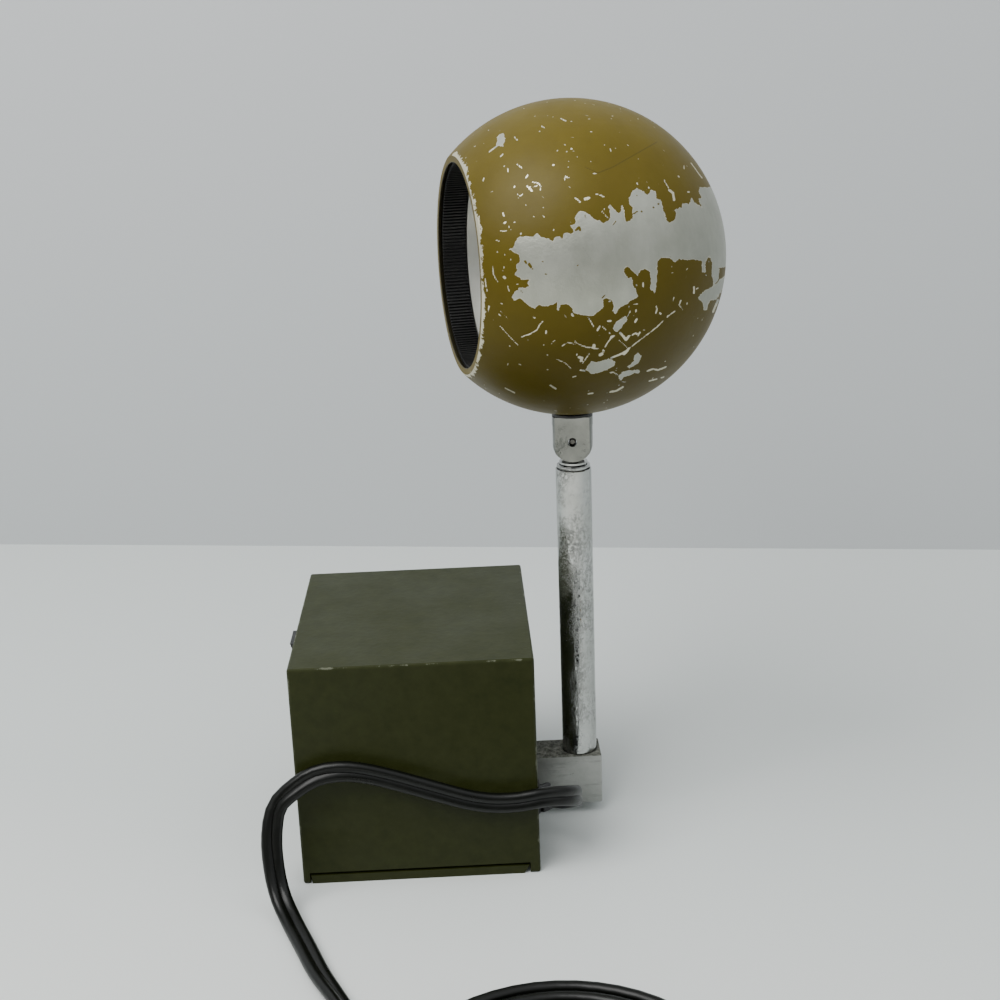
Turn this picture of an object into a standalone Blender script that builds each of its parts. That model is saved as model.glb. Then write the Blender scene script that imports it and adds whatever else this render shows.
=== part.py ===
"""Desk lamp: a square transformer base, a telescoping chrome arm on a swinging block,
and a ball shade on a swivelling, tilting fork. Metres, +Z up, +X towards the arm.
The origin is the middle of the base's underside."""

import math

import bmesh
import bpy
from mathutils import Matrix, Vector

MM = 0.001

# Clearances
SEAT_GAP = 0.3 * MM
RUN_GAP = 0.25 * MM
OVERRUN = 1.0 * MM

# Base housing
BASE_LENGTH = 62.0 * MM
BASE_DEPTH = 71.5 * MM
BASE_HEIGHT = 60.5 * MM
BASE_WALL = 2.5 * MM
BASE_EDGE = 0.6 * MM
PLATE_THICK = 1.6 * MM
PLATE_LIP = 2.3 * MM
PLATE_LIP_SLANT = 1.3 * MM
PLATE_SLOT = 0.8 * MM
SHELL_REAR_POST = 2.6 * MM
SHELL_FRONT_POST = 1.8 * MM
BOSS_RADIUS = 4.0 * MM
BOSS_LENGTH = 12.0 * MM
SCREW_RADIUS = 1.5 * MM
SCREW_HEAD_RADIUS = 2.9 * MM
SCREW_LENGTH = 8.0 * MM
SCREW_WAIST_SHARE = 0.8
SCREW_BORE = SCREW_RADIUS + SEAT_GAP

# Transformer
CORE_FRONT_ROOM = 6.5 * MM
CORE_REAR_ROOM = 10.5 * MM
CORE_THICK = 24.0 * MM
CORE_TOP_ROOM = 1.6 * MM
CORE_LIMB_SHARE = 0.175
STRAP_INSET_SHARE = 0.2
CORE_FOOT = 0.5 * MM
CORE_Y = 4.0 * MM
WINDING_GROW = 6.0 * MM
STRAP_THICK = 1.0 * MM
STRAP_FOOT = 5.0 * MM

# Rocker switch on the front face
SWITCH_WIDTH = 12.0 * MM
SWITCH_HEIGHT = 19.0 * MM
SWITCH_BODY_DEEP = 13.0 * MM
SWITCH_DOWN = 13.3 * MM
ROCKER_WIDTH = 9.5 * MM
ROCKER_HEIGHT = 15.5 * MM
ROCKER_PROUD = 2.5 * MM
ROCKER_DISH = 1.4 * MM
ROCKER_DEEP = 4.0 * MM
ROCKER_FACE_SHARES = (-1, -0.75, -0.4, 0, 0.4, 0.75, 1)
ROCKER_BACK_SHARES = (1, 0.5, 0, -0.5, -1)
SWITCH_TAB_LENGTH = 6.0 * MM
SWITCH_TAB_WIDTH = 4.0 * MM
SWITCH_TAB_THICK = 0.8 * MM
SWITCH_TAB_SHARES = (-0.6, 0.0, 0.6)
SWITCH_EDGE = 0.3 * MM

# Swinging block at the rear face
BLOCK_LENGTH = 19.0 * MM
BLOCK_DEPTH = 11.2 * MM
BLOCK_HEIGHT = 14.7 * MM
BLOCK_LIFT = 3.2 * MM
BLOCK_EDGE = 0.6 * MM
SPIGOT_RADIUS = 4.0 * MM
SPIGOT_LENGTH = 10.0 * MM
NUT_FLATS = 12.0 * MM
NUT_THICK = 3.5 * MM
WASHER_RADIUS = 7.0 * MM
WASHER_THICK = 1.0 * MM

# Telescoping arm
ARM_FROM_BASE = 13.6 * MM
OUTER_RADIUS = 4.75 * MM
TUBE_WALL = 0.4 * MM
OUTER_TOP = 99.6 * MM
OUTER_SOCKET = 8.5 * MM
COLLAR_THICK = 0.8 * MM
COLLAR_LIP = 0.3 * MM
SLIDE_TRAVEL = 62.0 * MM
TUBE_OVERLAP = 14.7 * MM
TUBE_SHORTER = 4.0 * MM
TUBE_SIDES = 40

# Swivel stud and fork
TONGUE_THICK = 2.0 * MM
TONGUE_REACH = 3.3 * MM
TONGUE_FOOT_SHARE = 0.9
STUD_RADIUS = 2.6 * MM
STUD_LENGTH = 14.0 * MM
STUD_FLANGE = 0.5 * MM
STUD_FLANGE_RADIUS = 3.75 * MM
FORK_CLEAR = 0.28 * MM
PIN_RADIUS = 0.9 * MM
PIN_RECESS = 0.7 * MM
FORK_HALF = 5.42 * MM
FORK_DEPTH = 6.0 * MM
FORK_YAW = math.radians(-6.0)
FORK_ABOVE_PIN = 6.7 * MM
FORK_SLOT_OVER = 1.0 * MM
FORK_STEM_RADIUS = 3.0 * MM
FORK_STEM_LENGTH = 8.0 * MM
GASKET_RADIUS = 5.4 * MM
GASKET_THICK = 0.6 * MM

# Ball shade
BALL_RADIUS = 39.7 * MM
BALL_WALL = 1.2 * MM
BALL_SIDES = 48
MOUTH_SHARE = 0.7254
BALL_YAW = math.radians(11.2)
RING_BACK_OFF = 1.2 * MM
RING_DEEP = 6.3 * MM
RING_WALL = 1.2 * MM
RIB_DEEP = 0.5 * MM
RIBS = 90
REFLECTOR_WALL = 0.5 * MM
REFLECTOR_DEEP_SHARE = 0.403
BULB_ROOM = 1.2 * MM
REFLECTOR_STEPS = 6

# Bulb and socket
BULB_SHARE = 0.3275
BULB_TIP_BACK = 7.8 * MM
BULB_NECK_RADIUS = 6.8 * MM
BULB_LENGTH_SHARE = 0.8816
CAP_RADIUS = 7.5 * MM
CAP_LENGTH_SHARE = 0.403
CAP_TIP_RADIUS = 2.4 * MM
CAP_TIP = 1.0 * MM
SOCKET_WALL = 0.6 * MM
SOCKET_EXTRA = 3.0 * MM
SOCKET_DISC = 1.8 * MM
CONTACT_RADIUS = 1.6 * MM
CONTACT_LENGTH = 1.4 * MM
STEM_NUT_FLATS = 9.0 * MM
STEM_NUT_THICK = 2.4 * MM
STRAP_WIDE = 9.0 * MM
STRAP_REACH_SHARE = 0.3778

# Cord, its bushing and its plug
CORD_WIDE = 5.4 * MM
CORD_THICK = 2.8 * MM
CORD_STEP = 5.6 * MM
BUSHING_RADIUS = 4.8 * MM
BUSHING_FLANGE = 1.2 * MM
BUSHING_INSIDE = 5.0 * MM
BUSHING_NECK = 3.4 * MM
BUSHING_NOSE = 3.6 * MM
BUSHING_NOSE_BACK = 2.2 * MM
BUSHING_NOSE_WIDE = 4.6 * MM
BUSHING_NOSE_TALL = 7.2 * MM
BUSHING_TURN = math.radians(-52.0)
BUSHING_RISE_SHARE = 0.3
CORD_EXIT_Y = -15.0 * MM
CORD_EXIT_Z = 11.0 * MM
PLUG_LENGTH = 30.0 * MM
PLUG_WIDE = 23.0 * MM
PLUG_TALL = 12.0 * MM
PLUG_WAIST_SHARE = 0.55
PLUG_NECK_SHARE = 0.35
PLUG_BODY_SHARE = 0.7
PLUG_FROM_COIL_X = 47.5 * MM
PLUG_FROM_COIL_Y = 25.9 * MM
PLUG_HEADING = math.radians(62.0)
PLUG_EDGE = 1.6 * MM
BLADE_LENGTH = 15.9 * MM
BLADE_WIDE = 6.35 * MM
BLADE_THICK = 1.5 * MM
BLADE_SPACING = 12.7 * MM

# The route's own points: x, y, z in millimetres and the twist in degrees, where 0 stands the flat
# cord on its edge and 90 lays it flat
CORD_ROUTE = [
    (41.6, -28.0, 17.6, 0), (38.6, -35.2, 21.6, 0), (32.8, -38.2, 23.2, 0),
    (26.3, -38.6, 22.4, 0), (19.7, -38.6, 22.4, 0), (13.3, -38.6, 23.6, 0),
    (6.8, -38.6, 25.8, 0), (0.5, -38.6, 28.1, 0), (-5.9, -38.6, 30.4, 0),
    (-12.3, -38.6, 32.4, 0), (-18.7, -38.8, 33.5, 8), (-25.2, -39.2, 32.8, 22),
    (-30.8, -39.9, 29.8, 40), (-35.4, -41.0, 25.6, 60), (-37.0, -43.6, 18.6, 78),
    (-36.6, -46.6, 10.8, 88), (-35.0, -50.2, 5.2, 90), (-31.9, -56.6, 2.2, 90),
    (-27.6, -67.4, 1.8, 90), (-23.5, -78.2, 1.9, 80), (-18.7, -88.6, 2.2, 64),
    (-13.8, -99.0, 2.4, 56), (-10.0, -109.2, 2.8, 45), (-7.6, -119.0, 3.5, 25),
]
TAIL_ROUTE = [
    (51.5, -174.7, 7.8, 0), (61.5, -174.9, 5.6, 30), (70.5, -171.5, 5.8, 70),
]

# Coil of spare cord
COIL_X = 30.5 * MM
COIL_Y = -137.1 * MM
COIL_LIFT = 1.4 * MM
COIL_OUTER = 37.0 * MM
COIL_PITCH = 3.8 * MM
COIL_DIP = 1.5 * MM
COIL_LAYER = 5.95 * MM
COIL_TURNS_EACH = 3.875
COIL_START = math.pi
COIL_LOOP_STEPS = 24
TIE_THICK = 0.8 * MM
TIE_WIDE = 5.0 * MM
TIE_TURN = math.radians(225.0)
TIE_EDGE = 1.0 * MM

# Places worked out from the sizes above
FRONT = -BASE_LENGTH / 2
REAR = BASE_LENGTH / 2
ARM_X = REAR + ARM_FROM_BASE
PIVOT_Z = BLOCK_LIFT + BLOCK_HEIGHT / 2
MID_RADIUS = OUTER_RADIUS - TUBE_WALL - RUN_GAP
INNER_RADIUS = MID_RADIUS - TUBE_WALL - RUN_GAP
MID_RIM = OUTER_TOP + SEAT_GAP + COLLAR_THICK
CORE_LENGTH = BASE_LENGTH - 2 * BASE_WALL - CORE_FRONT_ROOM - CORE_REAR_ROOM
CORE_X = (CORE_FRONT_ROOM - CORE_REAR_ROOM) / 2
CORE_LIMB = CORE_LIMB_SHARE * CORE_LENGTH
SWITCH_Z = BASE_HEIGHT - SWITCH_DOWN
CORE_LOW = PLATE_THICK + STRAP_THICK + CORE_FOOT
CORE_HEIGHT = SWITCH_Z - SWITCH_HEIGHT / 2 - CORE_TOP_ROOM - CORE_LOW
PIN_HEIGHT = MID_RIM + SEAT_GAP + STUD_FLANGE + FORK_CLEAR + FORK_HALF
FORK_TOP = PIN_HEIGHT + FORK_ABOVE_PIN
BALL_HEIGHT = FORK_TOP + 2 * SEAT_GAP + GASKET_THICK + BALL_RADIUS
MOUTH_OUT = MOUTH_SHARE * BALL_RADIUS
BULB_RADIUS = BULB_SHARE * BALL_RADIUS
BULB_LENGTH = BULB_LENGTH_SHARE * BALL_RADIUS
CAP_LENGTH = CAP_LENGTH_SHARE * BALL_RADIUS
REFLECTOR_DEEP = REFLECTOR_DEEP_SHARE * BALL_RADIUS
REFLECTOR_HOLE = BULB_RADIUS + BULB_ROOM
STRAP_REACH = STRAP_REACH_SHARE * BALL_RADIUS
PLUG_PLACE = Vector((COIL_X + PLUG_FROM_COIL_X, COIL_Y - PLUG_FROM_COIL_Y, PLUG_TALL / 2 + SEAT_GAP))


def clear_scene():
    for item in list(bpy.data.objects):
        bpy.data.objects.remove(item)


def material(name, colour, roughness, metallic=0.0):
    made = bpy.data.materials.new(name)
    made.use_nodes = True
    shader = made.node_tree.nodes["Principled BSDF"]
    shader.inputs["Base Color"].default_value = (*colour, 1.0)
    shader.inputs["Roughness"].default_value = roughness
    shader.inputs["Metallic"].default_value = metallic
    return made


def look_up_materials():
    return {
        "green paint": material("green paint", (0.03, 0.035, 0.012), 0.5),
        "ochre paint": material("ochre paint", (0.19, 0.14, 0.022), 0.4),
        "chrome": material("chrome", (0.62, 0.62, 0.60), 0.15, 1.0),
        "cast zinc": material("cast zinc", (0.22, 0.23, 0.22), 0.55, 0.7),
        "bright metal": material("bright metal", (0.75, 0.75, 0.73), 0.35, 1.0),
        "brass": material("brass", (0.55, 0.4, 0.16), 0.35, 1.0),
        "black plastic": material("black plastic", (0.012, 0.012, 0.013), 0.45),
        "black vinyl": material("black vinyl", (0.01, 0.01, 0.011), 0.35),
        "iron": material("iron", (0.16, 0.15, 0.14), 0.6, 0.8),
        "copper": material("copper", (0.45, 0.17, 0.08), 0.45, 0.6),
        "glass": material("glass", (0.8, 0.82, 0.82), 0.08),
        "white": material("white", (0.75, 0.75, 0.72), 0.4),
    }


def new_object(name, bm, look, smooth=True):
    """A mesh object whose faces point outwards."""
    bmesh.ops.recalc_face_normals(bm, faces=bm.faces)
    mesh = bpy.data.meshes.new(name)
    bm.to_mesh(mesh)
    bm.free()
    if smooth:
        mesh.shade_smooth()
        mesh.set_sharp_from_angle(angle=math.radians(32))
    made = bpy.data.objects.new(name, mesh)
    bpy.context.collection.objects.link(made)
    if look:
        mesh.materials.append(look)
    return made


def box(name, look, low, high, edge=0.0):
    """A box between two corners, with its edges rounded where edge is more than zero."""
    bm = bmesh.new()
    bmesh.ops.create_cube(bm, size=1.0)
    size = [b - a for a, b in zip(low, high)]
    middle = [(a + b) / 2 for a, b in zip(low, high)]
    bmesh.ops.scale(bm, vec=size, verts=bm.verts)
    bmesh.ops.translate(bm, vec=middle, verts=bm.verts)
    if edge:
        bmesh.ops.bevel(bm, geom=bm.edges[:], offset=edge, segments=2, profile=0.5, affect="EDGES")
    return new_object(name, bm, look, smooth=False)


def prism(name, look, outline, low, high, axis="Z"):
    """An outline drawn in a plane and pulled along an axis from low to high."""
    bm = bmesh.new()
    turned = {"Z": lambda u, v, w: (u, v, w), "Y": lambda u, v, w: (u, w, v), "X": lambda u, v, w: (w, u, v)}
    corners = [bm.verts.new(turned[axis](u, v, low)) for u, v in outline]
    face = bm.faces.new(corners)
    pulled = bmesh.ops.extrude_face_region(bm, geom=[face])
    shift = Vector(turned[axis](0, 0, high - low))
    moved = [item for item in pulled["geom"] if isinstance(item, bmesh.types.BMVert)]
    bmesh.ops.translate(bm, vec=shift, verts=moved)
    return new_object(name, bm, look)


def turned(name, look, profile, sides):
    """A closed profile of (radius, height) turned once round Z."""
    bm = bmesh.new()
    rings = []
    for radius, height in profile:
        if radius == 0:
            rings.append([bm.verts.new((0, 0, height))] * sides)
            continue
        angles = [2 * math.pi * i / sides for i in range(sides)]
        rings.append([bm.verts.new((radius * math.cos(a), radius * math.sin(a), height)) for a in angles])
    for here, there in zip(rings, rings[1:] + rings[:1]):
        for i in range(sides):
            j = (i + 1) % sides
            corners = list(dict.fromkeys([here[i], here[j], there[j], there[i]]))
            if len(corners) > 2:
                bm.faces.new(corners)
    return new_object(name, bm, look)


def tube_profile(outer, inner, low, high):
    return [(outer, high), (outer, low), (inner, low), (inner, high)]


def rod_profile(radius, low, high, chamfer=0.0):
    if not chamfer:
        return [(0, high), (radius, high), (radius, low), (0, low)]
    return [
        (0, high), (radius - chamfer, high), (radius, high - chamfer),
        (radius, low + chamfer), (radius - chamfer, low), (0, low),
    ]


def regular(radius, sides, turn=0.0):
    return [
        (radius * math.cos(turn + 2 * math.pi * i / sides), radius * math.sin(turn + 2 * math.pi * i / sides))
        for i in range(sides)
    ]


def combine(target, other, how):
    """Cut the other object from the target or join it on, and keep it as a hidden guide."""
    step = target.modifiers.new(how.lower() + " " + other.name, "BOOLEAN")
    step.operation = how
    step.object = other
    step.solver = "EXACT"
    other.hide_render = True
    other.display_type = "WIRE"
    return target


def cut(target, other):
    return combine(target, other, "DIFFERENCE")


def join(target, other):
    return combine(target, other, "UNION")


def lay_along(item, direction, place):
    """Turn an object's own Z to a direction and set it down at a place."""
    aimed = Vector(direction).to_track_quat("Z", "Y").to_matrix().to_4x4()
    item.matrix_world = Matrix.Translation(place) @ aimed
    return item


def empty(name, place):
    made = bpy.data.objects.new(name, None)
    made.location = place
    bpy.context.collection.objects.link(made)
    bpy.context.view_layer.update()
    return made


def attach(items, parent):
    """Hang objects on a parent where they stand."""
    bpy.context.view_layer.update()
    for item in items:
        item.parent = parent
        item.matrix_parent_inverse = parent.matrix_world.inverted()


# Base

def lip_span():
    return FRONT + SHELL_FRONT_POST, REAR - SHELL_REAR_POST


def boss_places():
    side = BASE_DEPTH / 2 - BASE_WALL - BOSS_RADIUS + SEAT_GAP
    front = FRONT + BASE_WALL + BOSS_RADIUS - SEAT_GAP
    rear = REAR - BASE_WALL - BOSS_RADIUS + SEAT_GAP
    return [(front, -side), (rear, side), (front, side)]


def window_halves():
    """Half the width and height of the opening that the rocker moves in."""
    return ROCKER_WIDTH / 2 + SEAT_GAP, ROCKER_HEIGHT / 2 + 2 * SEAT_GAP


def base_shell(looks):
    half = BASE_DEPTH / 2
    shell = box("base_shell", looks["green paint"], (FRONT, -half, 0), (REAR, half, BASE_HEIGHT), BASE_EDGE)
    hollow = box(
        "shell_hollow", None,
        (FRONT + BASE_WALL, -half + BASE_WALL, -OVERRUN),
        (REAR - BASE_WALL, half - BASE_WALL, BASE_HEIGHT - BASE_WALL),
    )
    cut(shell, hollow)
    front, rear = lip_span()
    notch_top = PLATE_LIP + PLATE_SLOT
    cut(shell, box("lip_notch", None, (front, -half - OVERRUN, -OVERRUN), (rear, half + OVERRUN, notch_top)))
    for i, (x, y) in enumerate(boss_places()):
        low = PLATE_LIP + SEAT_GAP
        boss = turned("boss_%d" % i, None, rod_profile(BOSS_RADIUS, low, low + BOSS_LENGTH), 20)
        boss.location = (x, y, 0)
        join(shell, boss)
        bore = turned("boss_bore_%d" % i, None, rod_profile(SCREW_BORE, 0, SCREW_LENGTH + OVERRUN), 16)
        bore.location = (x, y, 0)
        cut(shell, bore)
    pivot = turned("pivot_bore", None, rod_profile(SPIGOT_RADIUS + SEAT_GAP, -BASE_WALL, BASE_WALL), 32)
    cut(shell, lay_along(pivot, (1, 0, 0), (REAR, 0, PIVOT_Z)))
    hole = turned("cord_bore", None, rod_profile(BUSHING_NECK + SEAT_GAP, -2 * BASE_WALL, BASE_WALL), 28)
    cut(shell, lay_along(hole, (1, 0, 0), (REAR, CORD_EXIT_Y, CORD_EXIT_Z)))
    wide, tall = window_halves()
    cut(shell, box(
        "switch_window", None,
        (FRONT - OVERRUN, -wide, SWITCH_Z - tall), (FRONT + BASE_WALL + OVERRUN, wide, SWITCH_Z + tall),
    ))
    return shell


def bottom_plate(looks):
    """A tray whose two long edges turn up into lips that fill the shell's notches."""
    front, rear = lip_span()
    half = BASE_DEPTH / 2
    low_front = front + SEAT_GAP
    low_rear = rear - SEAT_GAP
    outline = [
        (low_front + PLATE_LIP_SLANT / 4, 0), (low_rear - PLATE_LIP_SLANT, 0),
        (low_rear, PLATE_LIP), (low_front, PLATE_LIP),
    ]
    plate = prism("bottom_plate", looks["green paint"], outline, -half, half, "Y")
    inside = half - BASE_WALL
    tray = box(
        "tray_hollow", None,
        (front - OVERRUN, -inside, PLATE_THICK), (rear + OVERRUN, inside, PLATE_LIP + OVERRUN),
    )
    cut(plate, tray)
    relief = box(
        "front_relief", None,
        (front - OVERRUN, -inside - SEAT_GAP, -OVERRUN),
        (FRONT + BASE_WALL + SEAT_GAP, inside + SEAT_GAP, PLATE_LIP + OVERRUN),
    )
    cut(plate, relief)
    for i, (x, y) in enumerate(boss_places()):
        head = SCREW_HEAD_RADIUS + SEAT_GAP
        waist = PLATE_THICK * SCREW_WAIST_SHARE
        seat = turned(
            "plate_countersink_%d" % i, None,
            [(0, PLATE_THICK + OVERRUN),
             (SCREW_BORE, PLATE_THICK + OVERRUN),
             (SCREW_BORE, waist + SEAT_GAP / 2),
             (head, SEAT_GAP * 1.5), (head, -OVERRUN), (0, -OVERRUN)], 20,
        )
        seat.location = (x, y, 0)
        cut(plate, seat)
    return plate


def plate_screw(looks, index, x, y):
    waist = PLATE_THICK * SCREW_WAIST_SHARE
    screw = turned(
        "plate_screw_%d" % (index + 1), looks["bright metal"],
        [(0, SCREW_LENGTH), (SCREW_RADIUS, SCREW_LENGTH), (SCREW_RADIUS, waist),
         (SCREW_HEAD_RADIUS, SEAT_GAP), (0, SEAT_GAP)], 16,
    )
    screw.location = (x, y, 0)
    return screw


# Transformer

def core_corners():
    return (
        (CORE_X - CORE_LENGTH / 2, CORE_Y - CORE_THICK / 2, CORE_LOW),
        (CORE_X + CORE_LENGTH / 2, CORE_Y + CORE_THICK / 2, CORE_LOW + CORE_HEIGHT),
    )


def window_spans():
    """The two openings left and right of the core's middle limb, as spans of X."""
    low, high = core_corners()
    middle = (low[0] + high[0]) / 2
    return (low[0] + CORE_LIMB, middle - CORE_LIMB), (middle + CORE_LIMB, high[0] - CORE_LIMB)


def transformer(looks):
    low, high = core_corners()
    core = box("transformer_core", looks["iron"], low, high)
    bottom = low[2] + CORE_LIMB
    top = high[2] - CORE_LIMB
    spans = window_spans()
    for i, (left, right) in enumerate(spans):
        window = box(
            "core_window_%d" % i, None, (left, low[1] - OVERRUN, bottom), (right, high[1] + OVERRUN, top),
        )
        cut(core, window)
    outer_left = spans[0][0] + SEAT_GAP
    outer_right = spans[1][1] - SEAT_GAP
    grown = (low[1] - WINDING_GROW, high[1] + WINDING_GROW)
    winding = box(
        "transformer_winding", looks["copper"],
        (outer_left, grown[0], bottom + SEAT_GAP), (outer_right, grown[1], top - SEAT_GAP),
        BASE_EDGE,
    )
    limb = box(
        "winding_limb", None,
        (spans[0][1] - SEAT_GAP, low[1] - SEAT_GAP, bottom - OVERRUN),
        (spans[1][0] + SEAT_GAP, high[1] + SEAT_GAP, top + OVERRUN),
    )
    cut(winding, limb)
    return core, winding


def transformer_strap(looks):
    """A bent strap that goes over the core and stands on two feet on the plate."""
    low, high = core_corners()
    left = low[0] - SEAT_GAP
    right = high[0] + SEAT_GAP
    under = PLATE_THICK + SEAT_GAP
    top = high[2] + SEAT_GAP
    thick = STRAP_THICK
    outline = [
        (left - STRAP_FOOT, under), (left, under), (left, top), (right, top), (right, under),
        (right + STRAP_FOOT, under), (right + STRAP_FOOT, under + thick), (right + thick, under + thick),
        (right + thick, top + thick), (left - thick, top + thick), (left - thick, under + thick),
        (left - STRAP_FOOT, under + thick),
    ]
    inset = CORE_THICK * STRAP_INSET_SHARE
    return prism("transformer_strap", looks["bright metal"], outline, low[1] + inset, high[1] - inset, "Y")


# Switch

def rocker_switch(looks):
    """A switch behind the front wall, whose rocker comes out through the wall's window."""
    wide = SWITCH_WIDTH / 2
    tall = SWITCH_HEIGHT / 2
    front = FRONT + BASE_WALL + SEAT_GAP
    back = FRONT + SWITCH_BODY_DEEP
    body = box(
        "switch_body", looks["black plastic"],
        (front, -wide, SWITCH_Z - tall), (back, wide, SWITCH_Z + tall), SWITCH_EDGE,
    )
    well_wide, well_tall = window_halves()
    well = box(
        "switch_well", None,
        (front - OVERRUN, -well_wide, SWITCH_Z - well_tall),
        (FRONT + ROCKER_DEEP + ROCKER_PROUD, well_wide, SWITCH_Z + well_tall),
    )
    cut(body, well)
    out = FRONT - ROCKER_PROUD
    half = ROCKER_HEIGHT / 2
    bow = [
        (FRONT + ROCKER_DEEP - ROCKER_DISH * abs(share), SWITCH_Z + half * share)
        for share in ROCKER_BACK_SHARES
    ]
    dish = [
        (out + ROCKER_DISH * (1 - share * share), SWITCH_Z + half * share)
        for share in ROCKER_FACE_SHARES
    ]
    rocker = prism(
        "switch_rocker", looks["black plastic"], dish + bow, -ROCKER_WIDTH / 2, ROCKER_WIDTH / 2, "Y",
    )
    for index, share in enumerate(SWITCH_TAB_SHARES):
        z = SWITCH_Z + tall * share
        join(body, box(
            "switch_tab_%d" % index, None,
            (back - OVERRUN, -SWITCH_TAB_WIDTH / 2, z - SWITCH_TAB_THICK / 2),
            (back + SWITCH_TAB_LENGTH, SWITCH_TAB_WIDTH / 2, z + SWITCH_TAB_THICK / 2),
        ))
    return body, rocker


# Arm

def swing_block(looks):
    near = REAR + SEAT_GAP
    half = BLOCK_DEPTH / 2
    block = box(
        "swing_block", looks["cast zinc"],
        (near, -half, BLOCK_LIFT), (near + BLOCK_LENGTH, half, BLOCK_LIFT + BLOCK_HEIGHT), BLOCK_EDGE,
    )
    spigot = turned(
        "block_spigot", None, rod_profile(SPIGOT_RADIUS, -SPIGOT_LENGTH, 2 * OVERRUN, BLOCK_EDGE), 32,
    )
    join(block, lay_along(spigot, (1, 0, 0), (near, 0, PIVOT_Z)))
    top = BLOCK_LIFT + BLOCK_HEIGHT
    bore = turned(
        "block_bore", None,
        rod_profile(OUTER_RADIUS + RUN_GAP, top - OUTER_SOCKET, top + OVERRUN), TUBE_SIDES,
    )
    bore.location = (ARM_X, 0, 0)
    cut(block, bore)
    return block


def pivot_fixings(looks):
    """The washer and nut that hold the block's spigot inside the rear wall."""
    inside = REAR - BASE_WALL - SEAT_GAP
    washer = turned(
        "pivot_washer", looks["bright metal"],
        tube_profile(WASHER_RADIUS, SPIGOT_RADIUS + SEAT_GAP, -WASHER_THICK, 0), 32,
    )
    lay_along(washer, (1, 0, 0), (inside, 0, PIVOT_Z))
    nut = prism(
        "pivot_nut", looks["brass"], regular(NUT_FLATS / 2 / math.cos(math.pi / 6), 6), -NUT_THICK, 0,
    )
    bore = turned(
        "nut_bore", None, rod_profile(SPIGOT_RADIUS + SEAT_GAP, -NUT_THICK - OVERRUN, OVERRUN), 32,
    )
    seat = (inside - WASHER_THICK - SEAT_GAP, 0, PIVOT_Z)
    lay_along(nut, (1, 0, 0), seat)
    lay_along(bore, (1, 0, 0), seat)
    cut(nut, bore)
    return washer, nut


def outer_tube(looks):
    low = BLOCK_LIFT + BLOCK_HEIGHT - OUTER_SOCKET + SEAT_GAP
    tube = turned(
        "outer_tube", looks["chrome"],
        tube_profile(OUTER_RADIUS, OUTER_RADIUS - TUBE_WALL, low, OUTER_TOP), TUBE_SIDES,
    )
    tube.location = (ARM_X, 0, 0)
    return tube


def sliding_tube(name, look, radius, collar_radius, rim, length):
    """A thin tube with a collar that rests on the rim of the tube round it."""
    low = rim + SEAT_GAP
    high = low + COLLAR_THICK
    inner = radius - TUBE_WALL
    profile = [
        (collar_radius, high), (collar_radius, low), (radius, low), (radius, rim - length),
        (inner, rim - length), (inner, high),
    ]
    tube = turned(name, look, profile, TUBE_SIDES)
    tube.location = (ARM_X, 0, 0)
    return tube


def arm_tubes(looks):
    reach = SLIDE_TRAVEL + TUBE_OVERLAP
    mid = sliding_tube("mid_tube", looks["chrome"], MID_RADIUS, OUTER_RADIUS - COLLAR_LIP, OUTER_TOP, reach)
    top = MID_RIM - SEAT_GAP
    inner = turned(
        "inner_tube", looks["chrome"],
        tube_profile(INNER_RADIUS, INNER_RADIUS - TUBE_WALL, top - reach + TUBE_SHORTER, top), TUBE_SIDES,
    )
    inner.location = (ARM_X, 0, 0)
    return mid, inner


# Head: drawn with the mouth towards -X. The ball and what it holds then turn by BALL_YAW round the
# arm, and the fork, its pin and the stud by FORK_YAW

def stud(looks):
    """The stem in the inner tube, its flange, and the flat tongue that the fork straddles."""
    seat = MID_RIM + SEAT_GAP
    stem = turned(
        "swivel_stud", looks["chrome"],
        [(0, seat + STUD_FLANGE), (STUD_FLANGE_RADIUS, seat + STUD_FLANGE), (STUD_FLANGE_RADIUS, seat),
         (STUD_RADIUS, seat), (STUD_RADIUS, seat - STUD_LENGTH), (0, seat - STUD_LENGTH)], TUBE_SIDES,
    )
    low = seat + STUD_FLANGE / 2
    crown = [
        (TONGUE_REACH * math.cos(math.pi * i / 12), PIN_HEIGHT + TONGUE_REACH * math.sin(math.pi * i / 12))
        for i in range(13)
    ]
    foot = TONGUE_REACH * TONGUE_FOOT_SHARE
    outline = crown + [(-foot, low), (foot, low)]
    tongue = prism("stud_tongue", None, outline, -TONGUE_THICK / 2, TONGUE_THICK / 2, "Y")
    join(stem, tongue)
    bore = turned("tongue_bore", None, rod_profile(PIN_RADIUS + RUN_GAP, -FORK_DEPTH, FORK_DEPTH), 24)
    cut(stem, lay_along(bore, (0, 1, 0), (0, 0, PIN_HEIGHT)))
    return stem


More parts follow.
